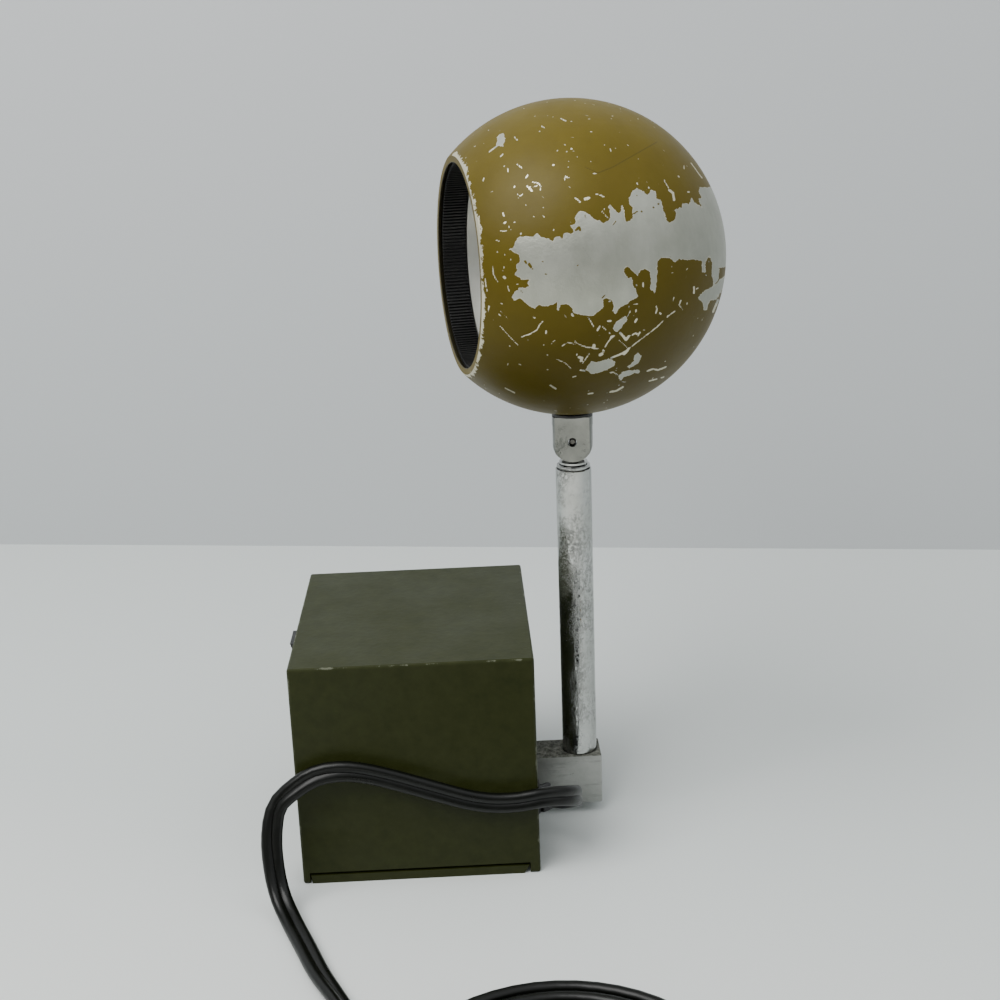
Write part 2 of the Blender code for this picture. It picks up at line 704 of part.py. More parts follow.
def fork(looks):
    """A round bar milled flat in front and behind, slotted for the tongue and rounded below the pin."""
    arc = [
        (FORK_HALF * math.cos(math.pi * i / 16), PIN_HEIGHT - FORK_HALF * math.sin(math.pi * i / 16))
        for i in range(17)
    ]
    outline = [(FORK_HALF, FORK_TOP)] + arc + [(-FORK_HALF, FORK_TOP)]
    body = prism("fork", looks["chrome"], outline, -FORK_DEPTH / 2, FORK_DEPTH / 2, "Y")
    low = PIN_HEIGHT - FORK_HALF - OVERRUN
    combine(body, turned("fork_bar", None, rod_profile(FORK_HALF, low, FORK_TOP + OVERRUN), 56), "INTERSECT")
    slot_top = PIN_HEIGHT + TONGUE_REACH + FORK_SLOT_OVER
    half = TONGUE_THICK / 2 + SEAT_GAP
    side = FORK_HALF + OVERRUN
    cut(body, box("fork_slot", None, (-side, -half, low), (side, half, slot_top)))
    stem = turned(
        "fork_stem", None, rod_profile(FORK_STEM_RADIUS, FORK_TOP - OVERRUN, FORK_TOP + FORK_STEM_LENGTH), 28,
    )
    join(body, stem)
    bore = turned("fork_bore", None, rod_profile(PIN_RADIUS + SEAT_GAP, -FORK_DEPTH, FORK_DEPTH), 24)
    cut(body, lay_along(bore, (0, 1, 0), (0, 0, PIN_HEIGHT)))
    return body


def fork_pin(looks):
    """The pin, whose ends stay a little inside the fork's flat faces."""
    half = FORK_DEPTH / 2 - PIN_RECESS
    pin = turned("fork_pin", looks["brass"], rod_profile(PIN_RADIUS, -half, half, SEAT_GAP), 24)
    return lay_along(pin, (0, 1, 0), (0, 0, PIN_HEIGHT))


def gasket(looks):
    low = FORK_TOP + SEAT_GAP
    return turned(
        "shade_gasket", looks["black plastic"],
        tube_profile(GASKET_RADIUS, FORK_STEM_RADIUS + SEAT_GAP, low, low + GASKET_THICK), 32,
    )


def arc_points(radius, start, end, steps):
    """Points of (radius, height) on a sphere between two angles from its equator."""
    return [
        (radius * math.cos(angle), radius * math.sin(angle))
        for angle in [start + (end - start) * i / steps for i in range(steps + 1)]
    ]


def facing_mouth(item):
    """Turn an object drawn along Z so that its Z leaves through the mouth, at the ball's middle."""
    return lay_along(item, (-1, 0, 0), (0, 0, BALL_HEIGHT))


def ball_shade(looks):
    """A spun sphere, open at the mouth, with a hole below for the fork's stem."""
    inner = BALL_RADIUS - BALL_WALL
    mouth = math.asin(MOUTH_OUT / BALL_RADIUS)
    inside_mouth = math.asin(MOUTH_OUT / inner)
    steps = 18
    outside = arc_points(BALL_RADIUS, mouth, -math.pi / 2, steps)[:-1] + [(0, -BALL_RADIUS)]
    inside = [(0, -inner)] + arc_points(inner, -math.pi / 2, inside_mouth, steps - 4)[1:]
    shade = facing_mouth(turned("ball_shade", looks["ochre paint"], outside + inside, BALL_SIDES))
    hole = turned(
        "stem_hole", None,
        rod_profile(FORK_STEM_RADIUS + SEAT_GAP, FORK_TOP, FORK_TOP + FORK_STEM_LENGTH), 28,
    )
    return cut(shade, hole)


def baffle_ring(looks):
    """The black ring inside the mouth: ribs along the light's axis all round its bore."""
    high = MOUTH_OUT - RING_BACK_OFF
    low = high - RING_DEEP
    inner_ball = BALL_RADIUS - BALL_WALL
    outer = math.sqrt(inner_ball ** 2 - high ** 2) - SEAT_GAP
    valley = outer - RING_WALL + RIB_DEEP
    crest = outer - RING_WALL
    ring = prism("baffle_ring", looks["black plastic"], regular(outer, 60), low, high)
    bore = []
    for i in range(2 * RIBS):
        radius = crest if i % 2 else valley
        angle = math.pi * i / RIBS
        bore.append((radius * math.cos(angle), radius * math.sin(angle)))
    ribs = prism("ring_ribs", None, bore, low - OVERRUN, high + OVERRUN)
    facing_mouth(ring)
    facing_mouth(ribs)
    return cut(ring, ribs)


def reflector(looks):
    """A dish behind the ring, narrowing to the hole that the bulb comes through."""
    rim = MOUTH_OUT - RING_BACK_OFF - RING_DEEP - SEAT_GAP
    inner_ball = BALL_RADIUS - BALL_WALL
    wide = math.sqrt(inner_ball ** 2 - (MOUTH_OUT - RING_BACK_OFF) ** 2) - SEAT_GAP
    inside = []
    for i in range(REFLECTOR_STEPS + 1):
        turn = math.pi / 2 * i / REFLECTOR_STEPS
        inside.append((
            REFLECTOR_HOLE + (wide - RING_WALL - REFLECTOR_HOLE) * math.cos(turn),
            rim - REFLECTOR_DEEP * math.sin(turn),
        ))
    outside = [
        (radius + REFLECTOR_WALL, height - REFLECTOR_WALL) for radius, height in reversed(inside)
    ]
    outside[-1] = (wide, rim - REFLECTOR_WALL)
    profile = [(wide, rim)] + inside + outside
    return facing_mouth(turned("reflector", looks["white"], profile, 44))


def bulb(looks):
    """The glass and the metal cap of a small single-contact bulb."""
    tip = MOUTH_OUT - BULB_TIP_BACK
    middle = tip - BULB_RADIUS
    neck_angle = -math.acos(BULB_NECK_RADIUS / BULB_RADIUS)
    end = tip - BULB_LENGTH
    crown = arc_points(BULB_RADIUS, math.pi / 2, neck_angle, 10)[1:]
    profile = [(0, tip)] + [(radius, middle + height) for radius, height in crown]
    profile += [(BULB_NECK_RADIUS, end), (0, end)]
    glass = facing_mouth(turned("bulb_glass", looks["glass"], profile, 32))
    top = end - SEAT_GAP
    low = top - CAP_LENGTH
    cap = facing_mouth(turned(
        "bulb_cap", looks["brass"],
        [(0, top), (CAP_RADIUS, top), (CAP_RADIUS, low + CAP_TIP), (CAP_RADIUS - CAP_TIP, low),
         (CAP_TIP_RADIUS, low), (CAP_TIP_RADIUS - CAP_TIP / 2, low - CAP_TIP), (0, low - CAP_TIP)], 32,
    ))
    return glass, cap


def cap_span():
    top = MOUTH_OUT - BULB_TIP_BACK - BULB_LENGTH - SEAT_GAP
    return top, top - CAP_LENGTH - CAP_TIP


def socket_sizes():
    """The socket shell's bore, outer radius and the heights of its mouth and its back."""
    top, low = cap_span()
    bore = CAP_RADIUS + SEAT_GAP
    return bore, bore + SOCKET_WALL, top - 2 * OVERRUN, low - SOCKET_EXTRA


def socket(looks):
    bore, outer, mouth, back = socket_sizes()
    wall = tube_profile(outer, bore, back, mouth)
    shell = facing_mouth(turned("socket_shell", looks["bright metal"], wall, 32))
    disc_top = cap_span()[1] - SEAT_GAP - CONTACT_LENGTH
    disc = facing_mouth(turned(
        "socket_disc", looks["black plastic"],
        rod_profile(bore - SEAT_GAP, disc_top - SOCKET_DISC, disc_top), 32,
    ))
    contact = turned(
        "contact_dome", None,
        rod_profile(CONTACT_RADIUS, disc_top - SOCKET_DISC / 2, disc_top + CONTACT_LENGTH, SEAT_GAP), 20,
    )
    facing_mouth(contact)
    join(disc, contact)
    return shell, disc


def stem_nut(looks):
    """The nut on the fork's stem, just above the inner wall of the ball."""
    corner = STEM_NUT_FLATS / 2 / math.cos(math.pi / 6)
    inner_ball = BALL_RADIUS - BALL_WALL
    low = BALL_HEIGHT - math.sqrt(inner_ball ** 2 - corner ** 2) + SEAT_GAP
    nut = prism("stem_nut", looks["brass"], regular(corner, 6), low, low + STEM_NUT_THICK)
    bore = turned(
        "stem_nut_bore", None,
        rod_profile(FORK_STEM_RADIUS + SEAT_GAP, low - OVERRUN, low + STEM_NUT_THICK + OVERRUN), 28,
    )
    cut(nut, bore)
    return nut, low + STEM_NUT_THICK + SEAT_GAP


def socket_strap(looks, seat):
    """A bent strap from the fork's stem up to the underside of the socket shell."""
    _, outer, mouth, back = socket_sizes()
    thick = STRAP_THICK
    under_socket = BALL_HEIGHT - outer - SEAT_GAP
    front = -(FORK_STEM_RADIUS + 2 * thick)
    outline = [
        (front, seat), (STRAP_REACH, seat),
        (STRAP_REACH, under_socket - thick), (-back, under_socket - thick),
        (-back, under_socket), (STRAP_REACH - thick, under_socket), (STRAP_REACH - thick, seat + thick),
        (front, seat + thick),
    ]
    strap = prism("socket_strap", looks["bright metal"], outline, -STRAP_WIDE / 2, STRAP_WIDE / 2, "Y")
    hole = turned(
        "strap_hole", None,
        rod_profile(FORK_STEM_RADIUS + SEAT_GAP, seat - OVERRUN, seat + thick + OVERRUN), 28,
    )
    return cut(strap, hole)


def turn_head(items, yaw):
    """Carry what was drawn on the Z axis, and its guides, out to the arm and turn it there."""
    carry = Matrix.Translation((ARM_X, 0, 0)) @ Matrix.Rotation(yaw, 4, "Z")
    bpy.context.view_layer.update()
    for item in items + [guide for item in items for guide in guides_of(item)]:
        item.matrix_world = carry @ item.matrix_world


def guides_of(item):
    return [step.object for step in item.modifiers if step.type == "BOOLEAN"]


# Cord

def smooth_route(points):
    """A Catmull-Rom curve through the route's points, as evenly spaced points with their twist."""
    ends = [
        [2 * a - b for a, b in zip(points[0], points[1])],
        [2 * a - b for a, b in zip(points[-1], points[-2])],
    ]
    padded = [ends[0]] + [list(p) for p in points] + [ends[1]]
    fine = []
    for p0, p1, p2, p3 in zip(padded, padded[1:], padded[2:], padded[3:]):
        for i in range(24):
            t = i / 24
            fine.append([
                b + t * ((c - a) + t * ((2 * a - 5 * b + 4 * c - d) + t * (3 * b - a - 3 * c + d))) / 2
                for a, b, c, d in zip(p0, p1, p2, p3)
            ])
            if i == 0:
                fine[-1] = list(p1)
    fine.append(list(points[-1]))
    lengths = [0.0]
    for a, b in zip(fine, fine[1:]):
        lengths.append(lengths[-1] + math.dist(a[:3], b[:3]))
    count = max(2, round(lengths[-1] / CORD_STEP))
    spaced = []
    j = 0
    for i in range(count + 1):
        want = lengths[-1] * i / count
        while j < len(fine) - 2 and lengths[j + 1] < want:
            j += 1
        span = lengths[j + 1] - lengths[j]
        t = (want - lengths[j]) / span
        spaced.append([a + t * (b - a) for a, b in zip(fine[j], fine[j + 1])])
    return spaced


def flat_cord(name, look, points):
    """A flat twin cord along points of x, y, z and twist: a rounded strip with closed ends."""
    curve = bpy.data.curves.new(name, "CURVE")
    curve.dimensions = "3D"
    curve.twist_mode = "Z_UP"
    curve.fill_mode = "FULL"
    curve.bevel_depth = CORD_THICK / 2
    curve.extrude = (CORD_WIDE - CORD_THICK) / 2
    curve.bevel_resolution = 1
    curve.use_fill_caps = True
    spline = curve.splines.new("POLY")
    spline.points.add(len(points) - 1)
    for point, (x, y, z, twist) in zip(spline.points, points):
        point.co = (x, y, z, 1)
        point.tilt = twist
    made = bpy.data.objects.new(name, curve)
    bpy.context.collection.objects.link(made)
    curve.materials.append(look)
    return made


def bushing_nose():
    """The direction in which the cord leaves, and the end face of the bushing's nose."""
    way = Vector((math.cos(BUSHING_TURN), math.sin(BUSHING_TURN), BUSHING_RISE_SHARE)).normalized()
    root = Vector((REAR + BUSHING_FLANGE, CORD_EXIT_Y, CORD_EXIT_Z))
    return way, root, root + way * BUSHING_NOSE


def cord_bushing(looks):
    """A moulded bushing: a neck through the wall, a flange on it and a nose turned to one side."""
    way, root, end = bushing_nose()
    flange = turned(
        "cord_bushing", looks["black plastic"],
        [(0, BUSHING_FLANGE), (BUSHING_RADIUS - SEAT_GAP, BUSHING_FLANGE), (BUSHING_RADIUS, SEAT_GAP * 2),
         (BUSHING_RADIUS, SEAT_GAP), (BUSHING_NECK, SEAT_GAP), (BUSHING_NECK, -BUSHING_INSIDE),
         (0, -BUSHING_INSIDE)], 28,
    )
    lay_along(flange, (1, 0, 0), (REAR, CORD_EXIT_Y, CORD_EXIT_Z))
    nose = box(
        "bushing_nose", None,
        (-BUSHING_NOSE_TALL / 2, -BUSHING_NOSE_WIDE / 2, -BUSHING_NOSE_BACK),
        (BUSHING_NOSE_TALL / 2, BUSHING_NOSE_WIDE / 2, 0), BASE_EDGE,
    )
    side = Vector((0, 0, 1)).cross(way).normalized()
    tall = way.cross(side)
    frame = Matrix((tall, side, way)).transposed().to_4x4()
    nose.matrix_world = Matrix.Translation(end) @ frame
    join(flange, nose)
    return flange


def coil_points():
    """Turns that wind in on the table, climb a layer in half a turn and wind out on top.
    The climb dips towards the middle, so that the turn which follows it outside has room."""
    low = COIL_LIFT + CORD_WIDE / 2
    inner = COIL_OUTER - COIL_PITCH * COIL_TURNS_EACH
    climb_end = COIL_TURNS_EACH + 0.5
    turns = COIL_TURNS_EACH + climb_end
    count = round(turns * COIL_LOOP_STEPS)
    points = []
    for i in range(count + 1):
        done = turns * i / count
        steady = inner + COIL_PITCH * max(COIL_TURNS_EACH - done, done - climb_end, 0)
        dip = min(2 * (done - COIL_TURNS_EACH) + 1, 2 * (climb_end - done) + 1, 1)
        climbed = min(max(2 * (done - COIL_TURNS_EACH), 0), 1)
        radius = steady - COIL_DIP * max(dip, 0)
        angle = COIL_START + 2 * math.pi * done
        points.append((
            COIL_X + radius * math.cos(angle), COIL_Y + radius * math.sin(angle),
            low + COIL_LAYER * climbed, 0.0,
        ))
    return [straight_end(points[0], points[1])] + points + [straight_end(points[-1], points[-2])]


def straight_end(last, before):
    """One cord width further on, in line with the last two points."""
    step = Vector(last[:3]) - Vector(before[:3])
    return (*(Vector(last[:3]) + step.normalized() * CORD_WIDE), last[3])


def coil_gap(points):
    """The least gap between turns: across the thin side in a layer, across the wide one between layers."""
    least = 1.0
    apart = COIL_LOOP_STEPS // 2
    for i, a in enumerate(points):
        for b in points[i + apart:]:
            flat = math.dist(a[:2], b[:2])
            high = abs(a[2] - b[2])
            least = min(least, max(flat - CORD_THICK, high - CORD_WIDE))
    return least


def beyond(point, before, gap):
    """The point a gap past the end of a run, going on in its direction."""
    step = (Vector(point[:3]) - Vector(before[:3])).normalized()
    return Vector(point[:3]) + step * gap, step


def radians_route(route):
    return [(x * MM, y * MM, z * MM, math.radians(twist)) for x, y, z, twist in route]


def cords(looks):
    coil = coil_points()
    way, _, nose = bushing_nose()
    start = nose + way * SEAT_GAP
    after = start + way * CORD_WIDE
    entry, back = beyond(coil[0], coil[1], SEAT_GAP)
    before = entry + back * CORD_WIDE
    lead = [(*start, 0.0), (*after, 0.0)] + radians_route(CORD_ROUTE) + [(*before, 0.0), (*entry, 0.0)]
    leave, on = beyond(coil[-1], coil[-2], SEAT_GAP)
    tail_start = leave + on * CORD_WIDE
    tail = [(*leave, 0.0), (*tail_start, 0.0)] + radians_route(TAIL_ROUTE)
    place, heading = plug_place()
    last = place - heading * SEAT_GAP
    tail += [(*(last - heading * CORD_WIDE), math.pi / 2), (*last, math.pi / 2)]
    print("least gap in the coil, mm:", round(coil_gap(coil) / MM, 3))
    lead_points = smooth_route(lead)
    tail_points = smooth_route(tail)
    lengths = [
        sum(math.dist(a[:3], b[:3]) for a, b in zip(run, run[1:])) for run in (lead_points, coil, tail_points)
    ]
    print("cord lengths, mm:", [round(length / MM) for length in lengths], round(sum(lengths) / MM))
    return (
        flat_cord("cord_lead", looks["black vinyl"], lead_points),
        flat_cord("cord_coil", looks["black vinyl"], coil),
        flat_cord("cord_tail", looks["black vinyl"], tail_points),
    )


def coil_tie(looks):
    """A flat band round both layers of the coil at one place."""
    outer = COIL_OUTER + CORD_THICK / 2 + SEAT_GAP
    inner = COIL_OUTER - COIL_PITCH * COIL_TURNS_EACH - COIL_DIP - CORD_THICK / 2 - SEAT_GAP
    low = COIL_LIFT - SEAT_GAP
    high = COIL_LIFT + CORD_WIDE + COIL_LAYER + SEAT_GAP
    half = TIE_WIDE / 2
    sag = TIE_WIDE ** 2 / (8 * inner)
    band = box(
        "coil_tie", looks["black plastic"],
        (inner - sag - TIE_THICK, -half, low - TIE_THICK),
        (outer + TIE_THICK, half, high + TIE_THICK), TIE_EDGE / 2,
    )
    hole = box("tie_hole", None, (inner - sag, -half - OVERRUN, low), (outer, half + OVERRUN, high))
    turn = Matrix.Translation((COIL_X, COIL_Y, 0)) @ Matrix.Rotation(TIE_TURN, 4, "Z")
    band.matrix_world = turn
    hole.matrix_world = turn
    return cut(band, hole)


# Plug

def plug_place():
    return PLUG_PLACE, Vector((math.cos(PLUG_HEADING), math.sin(PLUG_HEADING), 0))


def plug(looks):
    """A flat two-blade plug, narrower at the cord's end, lying on the table."""
    place, heading = plug_place()
    half = PLUG_WIDE / 2
    waist = half * PLUG_WAIST_SHARE
    outline = [
        (-waist, 0), (waist, 0),
        (waist, PLUG_LENGTH * PLUG_NECK_SHARE), (half, PLUG_LENGTH * PLUG_BODY_SHARE),
        (half, PLUG_LENGTH), (-half, PLUG_LENGTH), (-half, PLUG_LENGTH * PLUG_BODY_SHARE),
        (-waist, PLUG_LENGTH * PLUG_NECK_SHARE),
    ]
    body = prism("plug_body", looks["black vinyl"], outline, -PLUG_TALL / 2, PLUG_TALL / 2, "Z")
    soften = body.modifiers.new("soft edges", "BEVEL")
    soften.width = PLUG_EDGE
    soften.segments = 2
    soften.limit_method = "ANGLE"
    items = [body]
    for index, side in enumerate((-1, 1)):
        x = side * BLADE_SPACING / 2
        low = PLUG_LENGTH + SEAT_GAP
        items.append(box(
            "plug_blade_%d" % (index + 1), looks["brass"],
            (x - BLADE_THICK / 2, low, -BLADE_WIDE / 2),
            (x + BLADE_THICK / 2, low + BLADE_LENGTH, BLADE_WIDE / 2),
            SEAT_GAP,
        ))
    turn = Matrix.Translation(place) @ Matrix.Rotation(PLUG_HEADING - math.pi / 2, 4, "Z")
    for item in items:
        item.matrix_world = turn
    return items


def build():
    clear_scene()
    looks = look_up_materials()
    base_shell(looks)
    bottom_plate(looks)
    for index, (x, y) in enumerate(boss_places()):
        plate_screw(looks, index, x, y)
    transformer(looks)
    transformer_strap(looks)
    _, rocker = rocker_switch(looks)
    cord_bushing(looks)
    cords(looks)
    coil_tie(looks)
    plug(looks)

    arm = [swing_block(looks), outer_tube(looks), *pivot_fixings(looks)]
    mid, inner = arm_tubes(looks)
    stud_body = stud(looks)
    nut, seat = stem_nut(looks)
    joint = [fork(looks), fork_pin(looks)]
    shade = [
        gasket(looks), ball_shade(looks), baffle_ring(looks), reflector(looks), *bulb(looks), *socket(looks),
        nut, socket_strap(looks, seat),
    ]
    head = joint + shade
    turn_head([stud_body, *joint], FORK_YAW)
    turn_head(shade, BALL_YAW)

    swing = empty("arm_swing", (REAR, 0, PIVOT_Z))
    slide = empty("mid_slide", (ARM_X, 0, OUTER_TOP))
    upper = empty("inner_slide", (ARM_X, 0, OUTER_TOP))
    swivel = empty("head_swivel", (ARM_X, 0, PIN_HEIGHT))
    tilt = empty("head_tilt", (ARM_X, 0, PIN_HEIGHT))
    attach(arm + [guide for item in arm for guide in guides_of(item)] + [slide], swing)
    attach([mid, upper], slide)
    attach([inner, swivel], upper)
    attach([stud_body, *guides_of(stud_body), tilt], swivel)
    attach(head + [guide for item in head for guide in guides_of(item)], tilt)
    attach([rocker], empty("rocker_axis", (FRONT + ROCKER_DEEP / 2, 0, SWITCH_Z)))


build()
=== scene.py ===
"""The looks of the desk lamp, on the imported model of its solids. Metres throughout, in the model's frame."""

import math

import bmesh
import bpy
import numpy as np
from mathutils import Matrix, Vector


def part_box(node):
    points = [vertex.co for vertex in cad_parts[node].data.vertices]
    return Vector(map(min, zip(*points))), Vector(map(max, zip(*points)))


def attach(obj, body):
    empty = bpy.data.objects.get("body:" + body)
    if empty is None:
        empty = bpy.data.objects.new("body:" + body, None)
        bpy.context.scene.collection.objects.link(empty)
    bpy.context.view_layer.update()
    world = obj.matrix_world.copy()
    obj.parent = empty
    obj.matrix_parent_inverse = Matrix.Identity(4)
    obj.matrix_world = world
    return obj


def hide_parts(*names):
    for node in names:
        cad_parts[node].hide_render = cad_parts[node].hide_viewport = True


MM = 0.001

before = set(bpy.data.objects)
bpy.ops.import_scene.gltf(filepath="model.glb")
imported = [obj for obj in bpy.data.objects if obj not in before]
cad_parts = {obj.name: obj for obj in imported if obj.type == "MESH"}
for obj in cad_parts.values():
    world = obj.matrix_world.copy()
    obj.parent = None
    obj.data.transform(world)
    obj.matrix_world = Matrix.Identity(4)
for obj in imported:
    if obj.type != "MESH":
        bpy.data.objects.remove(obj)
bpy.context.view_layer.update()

# Sizes repeated from the model's source
BASE_HALF_X = 31.0 * MM
BASE_HALF_Y = 35.75 * MM
BASE_HIGH = 60.5 * MM
ARM_X = 44.6 * MM
OUTER_RADIUS = 4.75 * MM
TUBE_WALL = 0.4 * MM
RUN_GAP = 0.25 * MM
SEAT_GAP = 0.3 * MM
MID_RADIUS = OUTER_RADIUS - TUBE_WALL - RUN_GAP
INNER_RADIUS = MID_RADIUS - TUBE_WALL - RUN_GAP
BALL_HEIGHT = 154.8 * MM
BALL_RADIUS = 39.7 * MM
BALL_WALL = 1.2 * MM
MOUTH_OUT = 0.7254 * BALL_RADIUS
BALL_YAW = math.radians(11.2)
STEM_HOLE = 3.3 * MM
RING_BACK_OFF = 1.2 * MM
RING_DEEP = 6.3 * MM
RING_WALL = 1.2 * MM
RIB_DEEP = 0.5 * MM
RIBS = 180
REFLECTOR_WALL = 0.5 * MM
REFLECTOR_DEEP = 0.403 * BALL_RADIUS
BULB_RADIUS = 0.3275 * BALL_RADIUS
REFLECTOR_HOLE = BULB_RADIUS + 1.2 * MM
BULB_TIP_BACK = 7.8 * MM
BULB_NECK_RADIUS = 6.8 * MM
BULB_LENGTH = 0.8816 * BALL_RADIUS
CORD_WIDE = 5.4 * MM
CORD_THICK = 2.8 * MM

BALL_MIDDLE = Vector((ARM_X, 0, BALL_HEIGHT))
MOUTH_WAY = Vector((-math.cos(BALL_YAW), -math.sin(BALL_YAW), 0))

# Camera
CAMERA_PLACE = Vector((15.76, -383.3, 208.26)) * MM
CAMERA_YAW = math.radians(1.351)
CAMERA_PITCH = math.radians(16.946)
CAMERA_ROLL = math.radians(-2.149)
FOCAL_PIXELS = 1502.0
PICTURE_PIXELS = 1000.0
SENSOR = 36.0


def camera_axes():
    forward = Vector((
        math.sin(CAMERA_YAW) * math.cos(CAMERA_PITCH), math.cos(CAMERA_YAW) * math.cos(CAMERA_PITCH),
        -math.sin(CAMERA_PITCH),
    ))
    level = Vector((math.cos(CAMERA_YAW), -math.sin(CAMERA_YAW), 0))
    rise = level.cross(forward)
    right = level * math.cos(CAMERA_ROLL) + rise * math.sin(CAMERA_ROLL)
    up = rise * math.cos(CAMERA_ROLL) - level * math.sin(CAMERA_ROLL)
    return right, up, forward


RIGHT, UP, FORWARD = camera_axes()


def linked(name, data):
    """A new object in the scene."""
    made = bpy.data.objects.new(name, data)
    bpy.context.scene.collection.objects.link(made)
    return made


def add_camera():
    data = bpy.data.cameras.new("camera")
    data.sensor_width = SENSOR
    data.lens = FOCAL_PIXELS / PICTURE_PIXELS * SENSOR
    data.clip_start = 0.01
    data.clip_end = 20
    camera = linked("camera", data)
    turn = Matrix((RIGHT, UP, -FORWARD)).transposed().to_4x4()
    camera.matrix_world = Matrix.Translation(CAMERA_PLACE) @ turn
    bpy.context.scene.camera = camera


def on_table(pixel):
    """The point of the table that a pixel of the photograph looks at."""
    half = PICTURE_PIXELS / 2
    way = FORWARD * FOCAL_PIXELS + RIGHT * (pixel[0] - half) + UP * (half - pixel[1])
    return CAMERA_PLACE + way * (-CAMERA_PLACE.z / way.z)


# Materials

RAMP_ENDS = ("From Min", "From Max", "To Min", "To Max")


class Look:
    """A node material with short calls for the nodes that it uses."""

    def __init__(self, name):
        self.material = bpy.data.materials.new(name)
        self.material.use_nodes = True
        self.tree = self.material.node_tree
        self.shader = self.tree.nodes["Principled BSDF"]
        self.place = self.node("ShaderNodeTexCoord").outputs["Object"]

    def node(self, kind, **settings):
        made = self.tree.nodes.new(kind)
        for key, value in settings.items():
            setattr(made, key, value)
        return made

    def put(self, value, socket):
        if isinstance(value, bpy.types.NodeSocket):
            self.tree.links.new(value, socket)
        elif isinstance(value, tuple) and len(value) == 3 and socket.type == "RGBA":
            socket.default_value = (*value, 1.0)
        else:
            socket.default_value = value

    def stretched(self, scale, place=None):
        node = self.node("ShaderNodeMapping")
        self.put(place or self.place, node.inputs["Vector"])
        node.inputs["Scale"].default_value = scale
        return node.outputs["Vector"]

    def noise(self, size, detail=3.0, rough=0.55, place=None, seed=0.0):
        """Noise whose largest features are about size metres across."""
        node = self.node("ShaderNodeTexNoise", noise_dimensions="4D")
        self.put(place or self.place, node.inputs["Vector"])
        for name, value in (("W", seed), ("Scale", 1 / size), ("Detail", detail), ("Roughness", rough)):
            node.inputs[name].default_value = value
        return node.outputs["Fac"]

    def cells(self, size, place=None):
        """The outputs of a pattern of cells about size metres across."""
        node = self.node("ShaderNodeTexVoronoi")
        self.put(place or self.place, node.inputs["Vector"])
        node.inputs["Scale"].default_value = 1 / size
        return node.outputs

    def bands(self, axis, scale, distortion):
        node = self.node("ShaderNodeTexWave", wave_type="BANDS", bands_direction=axis)
        self.put(self.place, node.inputs["Vector"])
        node.inputs["Scale"].default_value = scale
        node.inputs["Distortion"].default_value = distortion
        return node.outputs["Fac"]

    def remap(self, value, low, high, out_low=0.0, out_high=1.0):
        node = self.node("ShaderNodeMapRange", clamp=True)
        self.put(value, node.inputs["Value"])
        for name, number in zip(RAMP_ENDS, (low, high, out_low, out_high)):
            self.put(number, node.inputs[name])
        return node.outputs["Result"]

    def patches(self, span, *noise, **settings):
        """Noise, spread from the low to the high of a span, and to its last two numbers if it has four."""
        return self.remap(self.noise(*noise, **settings), *span)

    def sums(self, how, a, b=0.0):
        node = self.node("ShaderNodeMath", operation=how)
        self.put(a, node.inputs[0])
        self.put(b, node.inputs[1])
        return node.outputs[0]

    def times(self, a, b):
        return self.sums("MULTIPLY", a, b)

    def plus(self, a, b):
        return self.sums("ADD", a, b)

    def minus(self, a, b):
        return self.sums("SUBTRACT", a, b)

    def larger(self, a, b):
        return self.sums("MAXIMUM", a, b)

    def vectors(self, how, a, b=None, output="Vector"):
        node = self.node("ShaderNodeVectorMath", operation=how)
        self.put(a, node.inputs[0])
        if b is not None:
            self.put(b, node.inputs[1])
        return node.outputs[output]

    def mix(self, share, a, b):
        node = self.node("ShaderNodeMix", data_type="RGBA")
        self.put(share, node.inputs["Factor"])
        for socket, value in zip([s for s in node.inputs if s.type == "RGBA"], (a, b)):
            self.put(value, socket)
        return [s for s in node.outputs if s.type == "RGBA"][0]

    def stain(self, tone, where, share, colour):
        return self.mix(self.times(where, share), tone, colour)

    def part(self, axis, place=None):
        node = self.node("ShaderNodeSeparateXYZ")
        self.put(place or self.place, node.inputs[0])
        return node.outputs[axis]

    def attribute(self, name):
        node = self.node("ShaderNodeAttribute", attribute_name=name)
        return node.outputs["Fac"]

    def bump(self, height, depth, below=None):
        node = self.node("ShaderNodeBump")
        node.inputs["Distance"].default_value = depth
        self.put(height, node.inputs["Height"])
        if below is not None:
            self.put(below, node.inputs["Normal"])
        return node.outputs["Normal"]

    def done(self, colour, roughness, metallic=0.0, normal=None, **others):
        self.put(colour, self.shader.inputs["Base Color"])
        self.put(roughness, self.shader.inputs["Roughness"])
        self.put(metallic, self.shader.inputs["Metallic"])
        if normal is not None:
            self.put(normal, self.shader.inputs["Normal"])
        for name, value in others.items():
            self.put(value, self.shader.inputs[name.replace("_", " ")])
        return self.material


def box_edge_distance(look, low, high):
    """How far a point on a box's surface is from its nearest edge."""
    away = []
    for axis, (a, b) in enumerate(zip(low, high)):
        here = look.part(axis)
        off = look.sums("ABSOLUTE", look.minus(here, (a + b) / 2))
        away.append(look.minus((b - a) / 2, off))
    x, y, z = away
    smaller = look.sums("MINIMUM", x, y)
    larger = look.larger(x, y)
    return look.larger(smaller, look.sums("MINIMUM", larger, z))


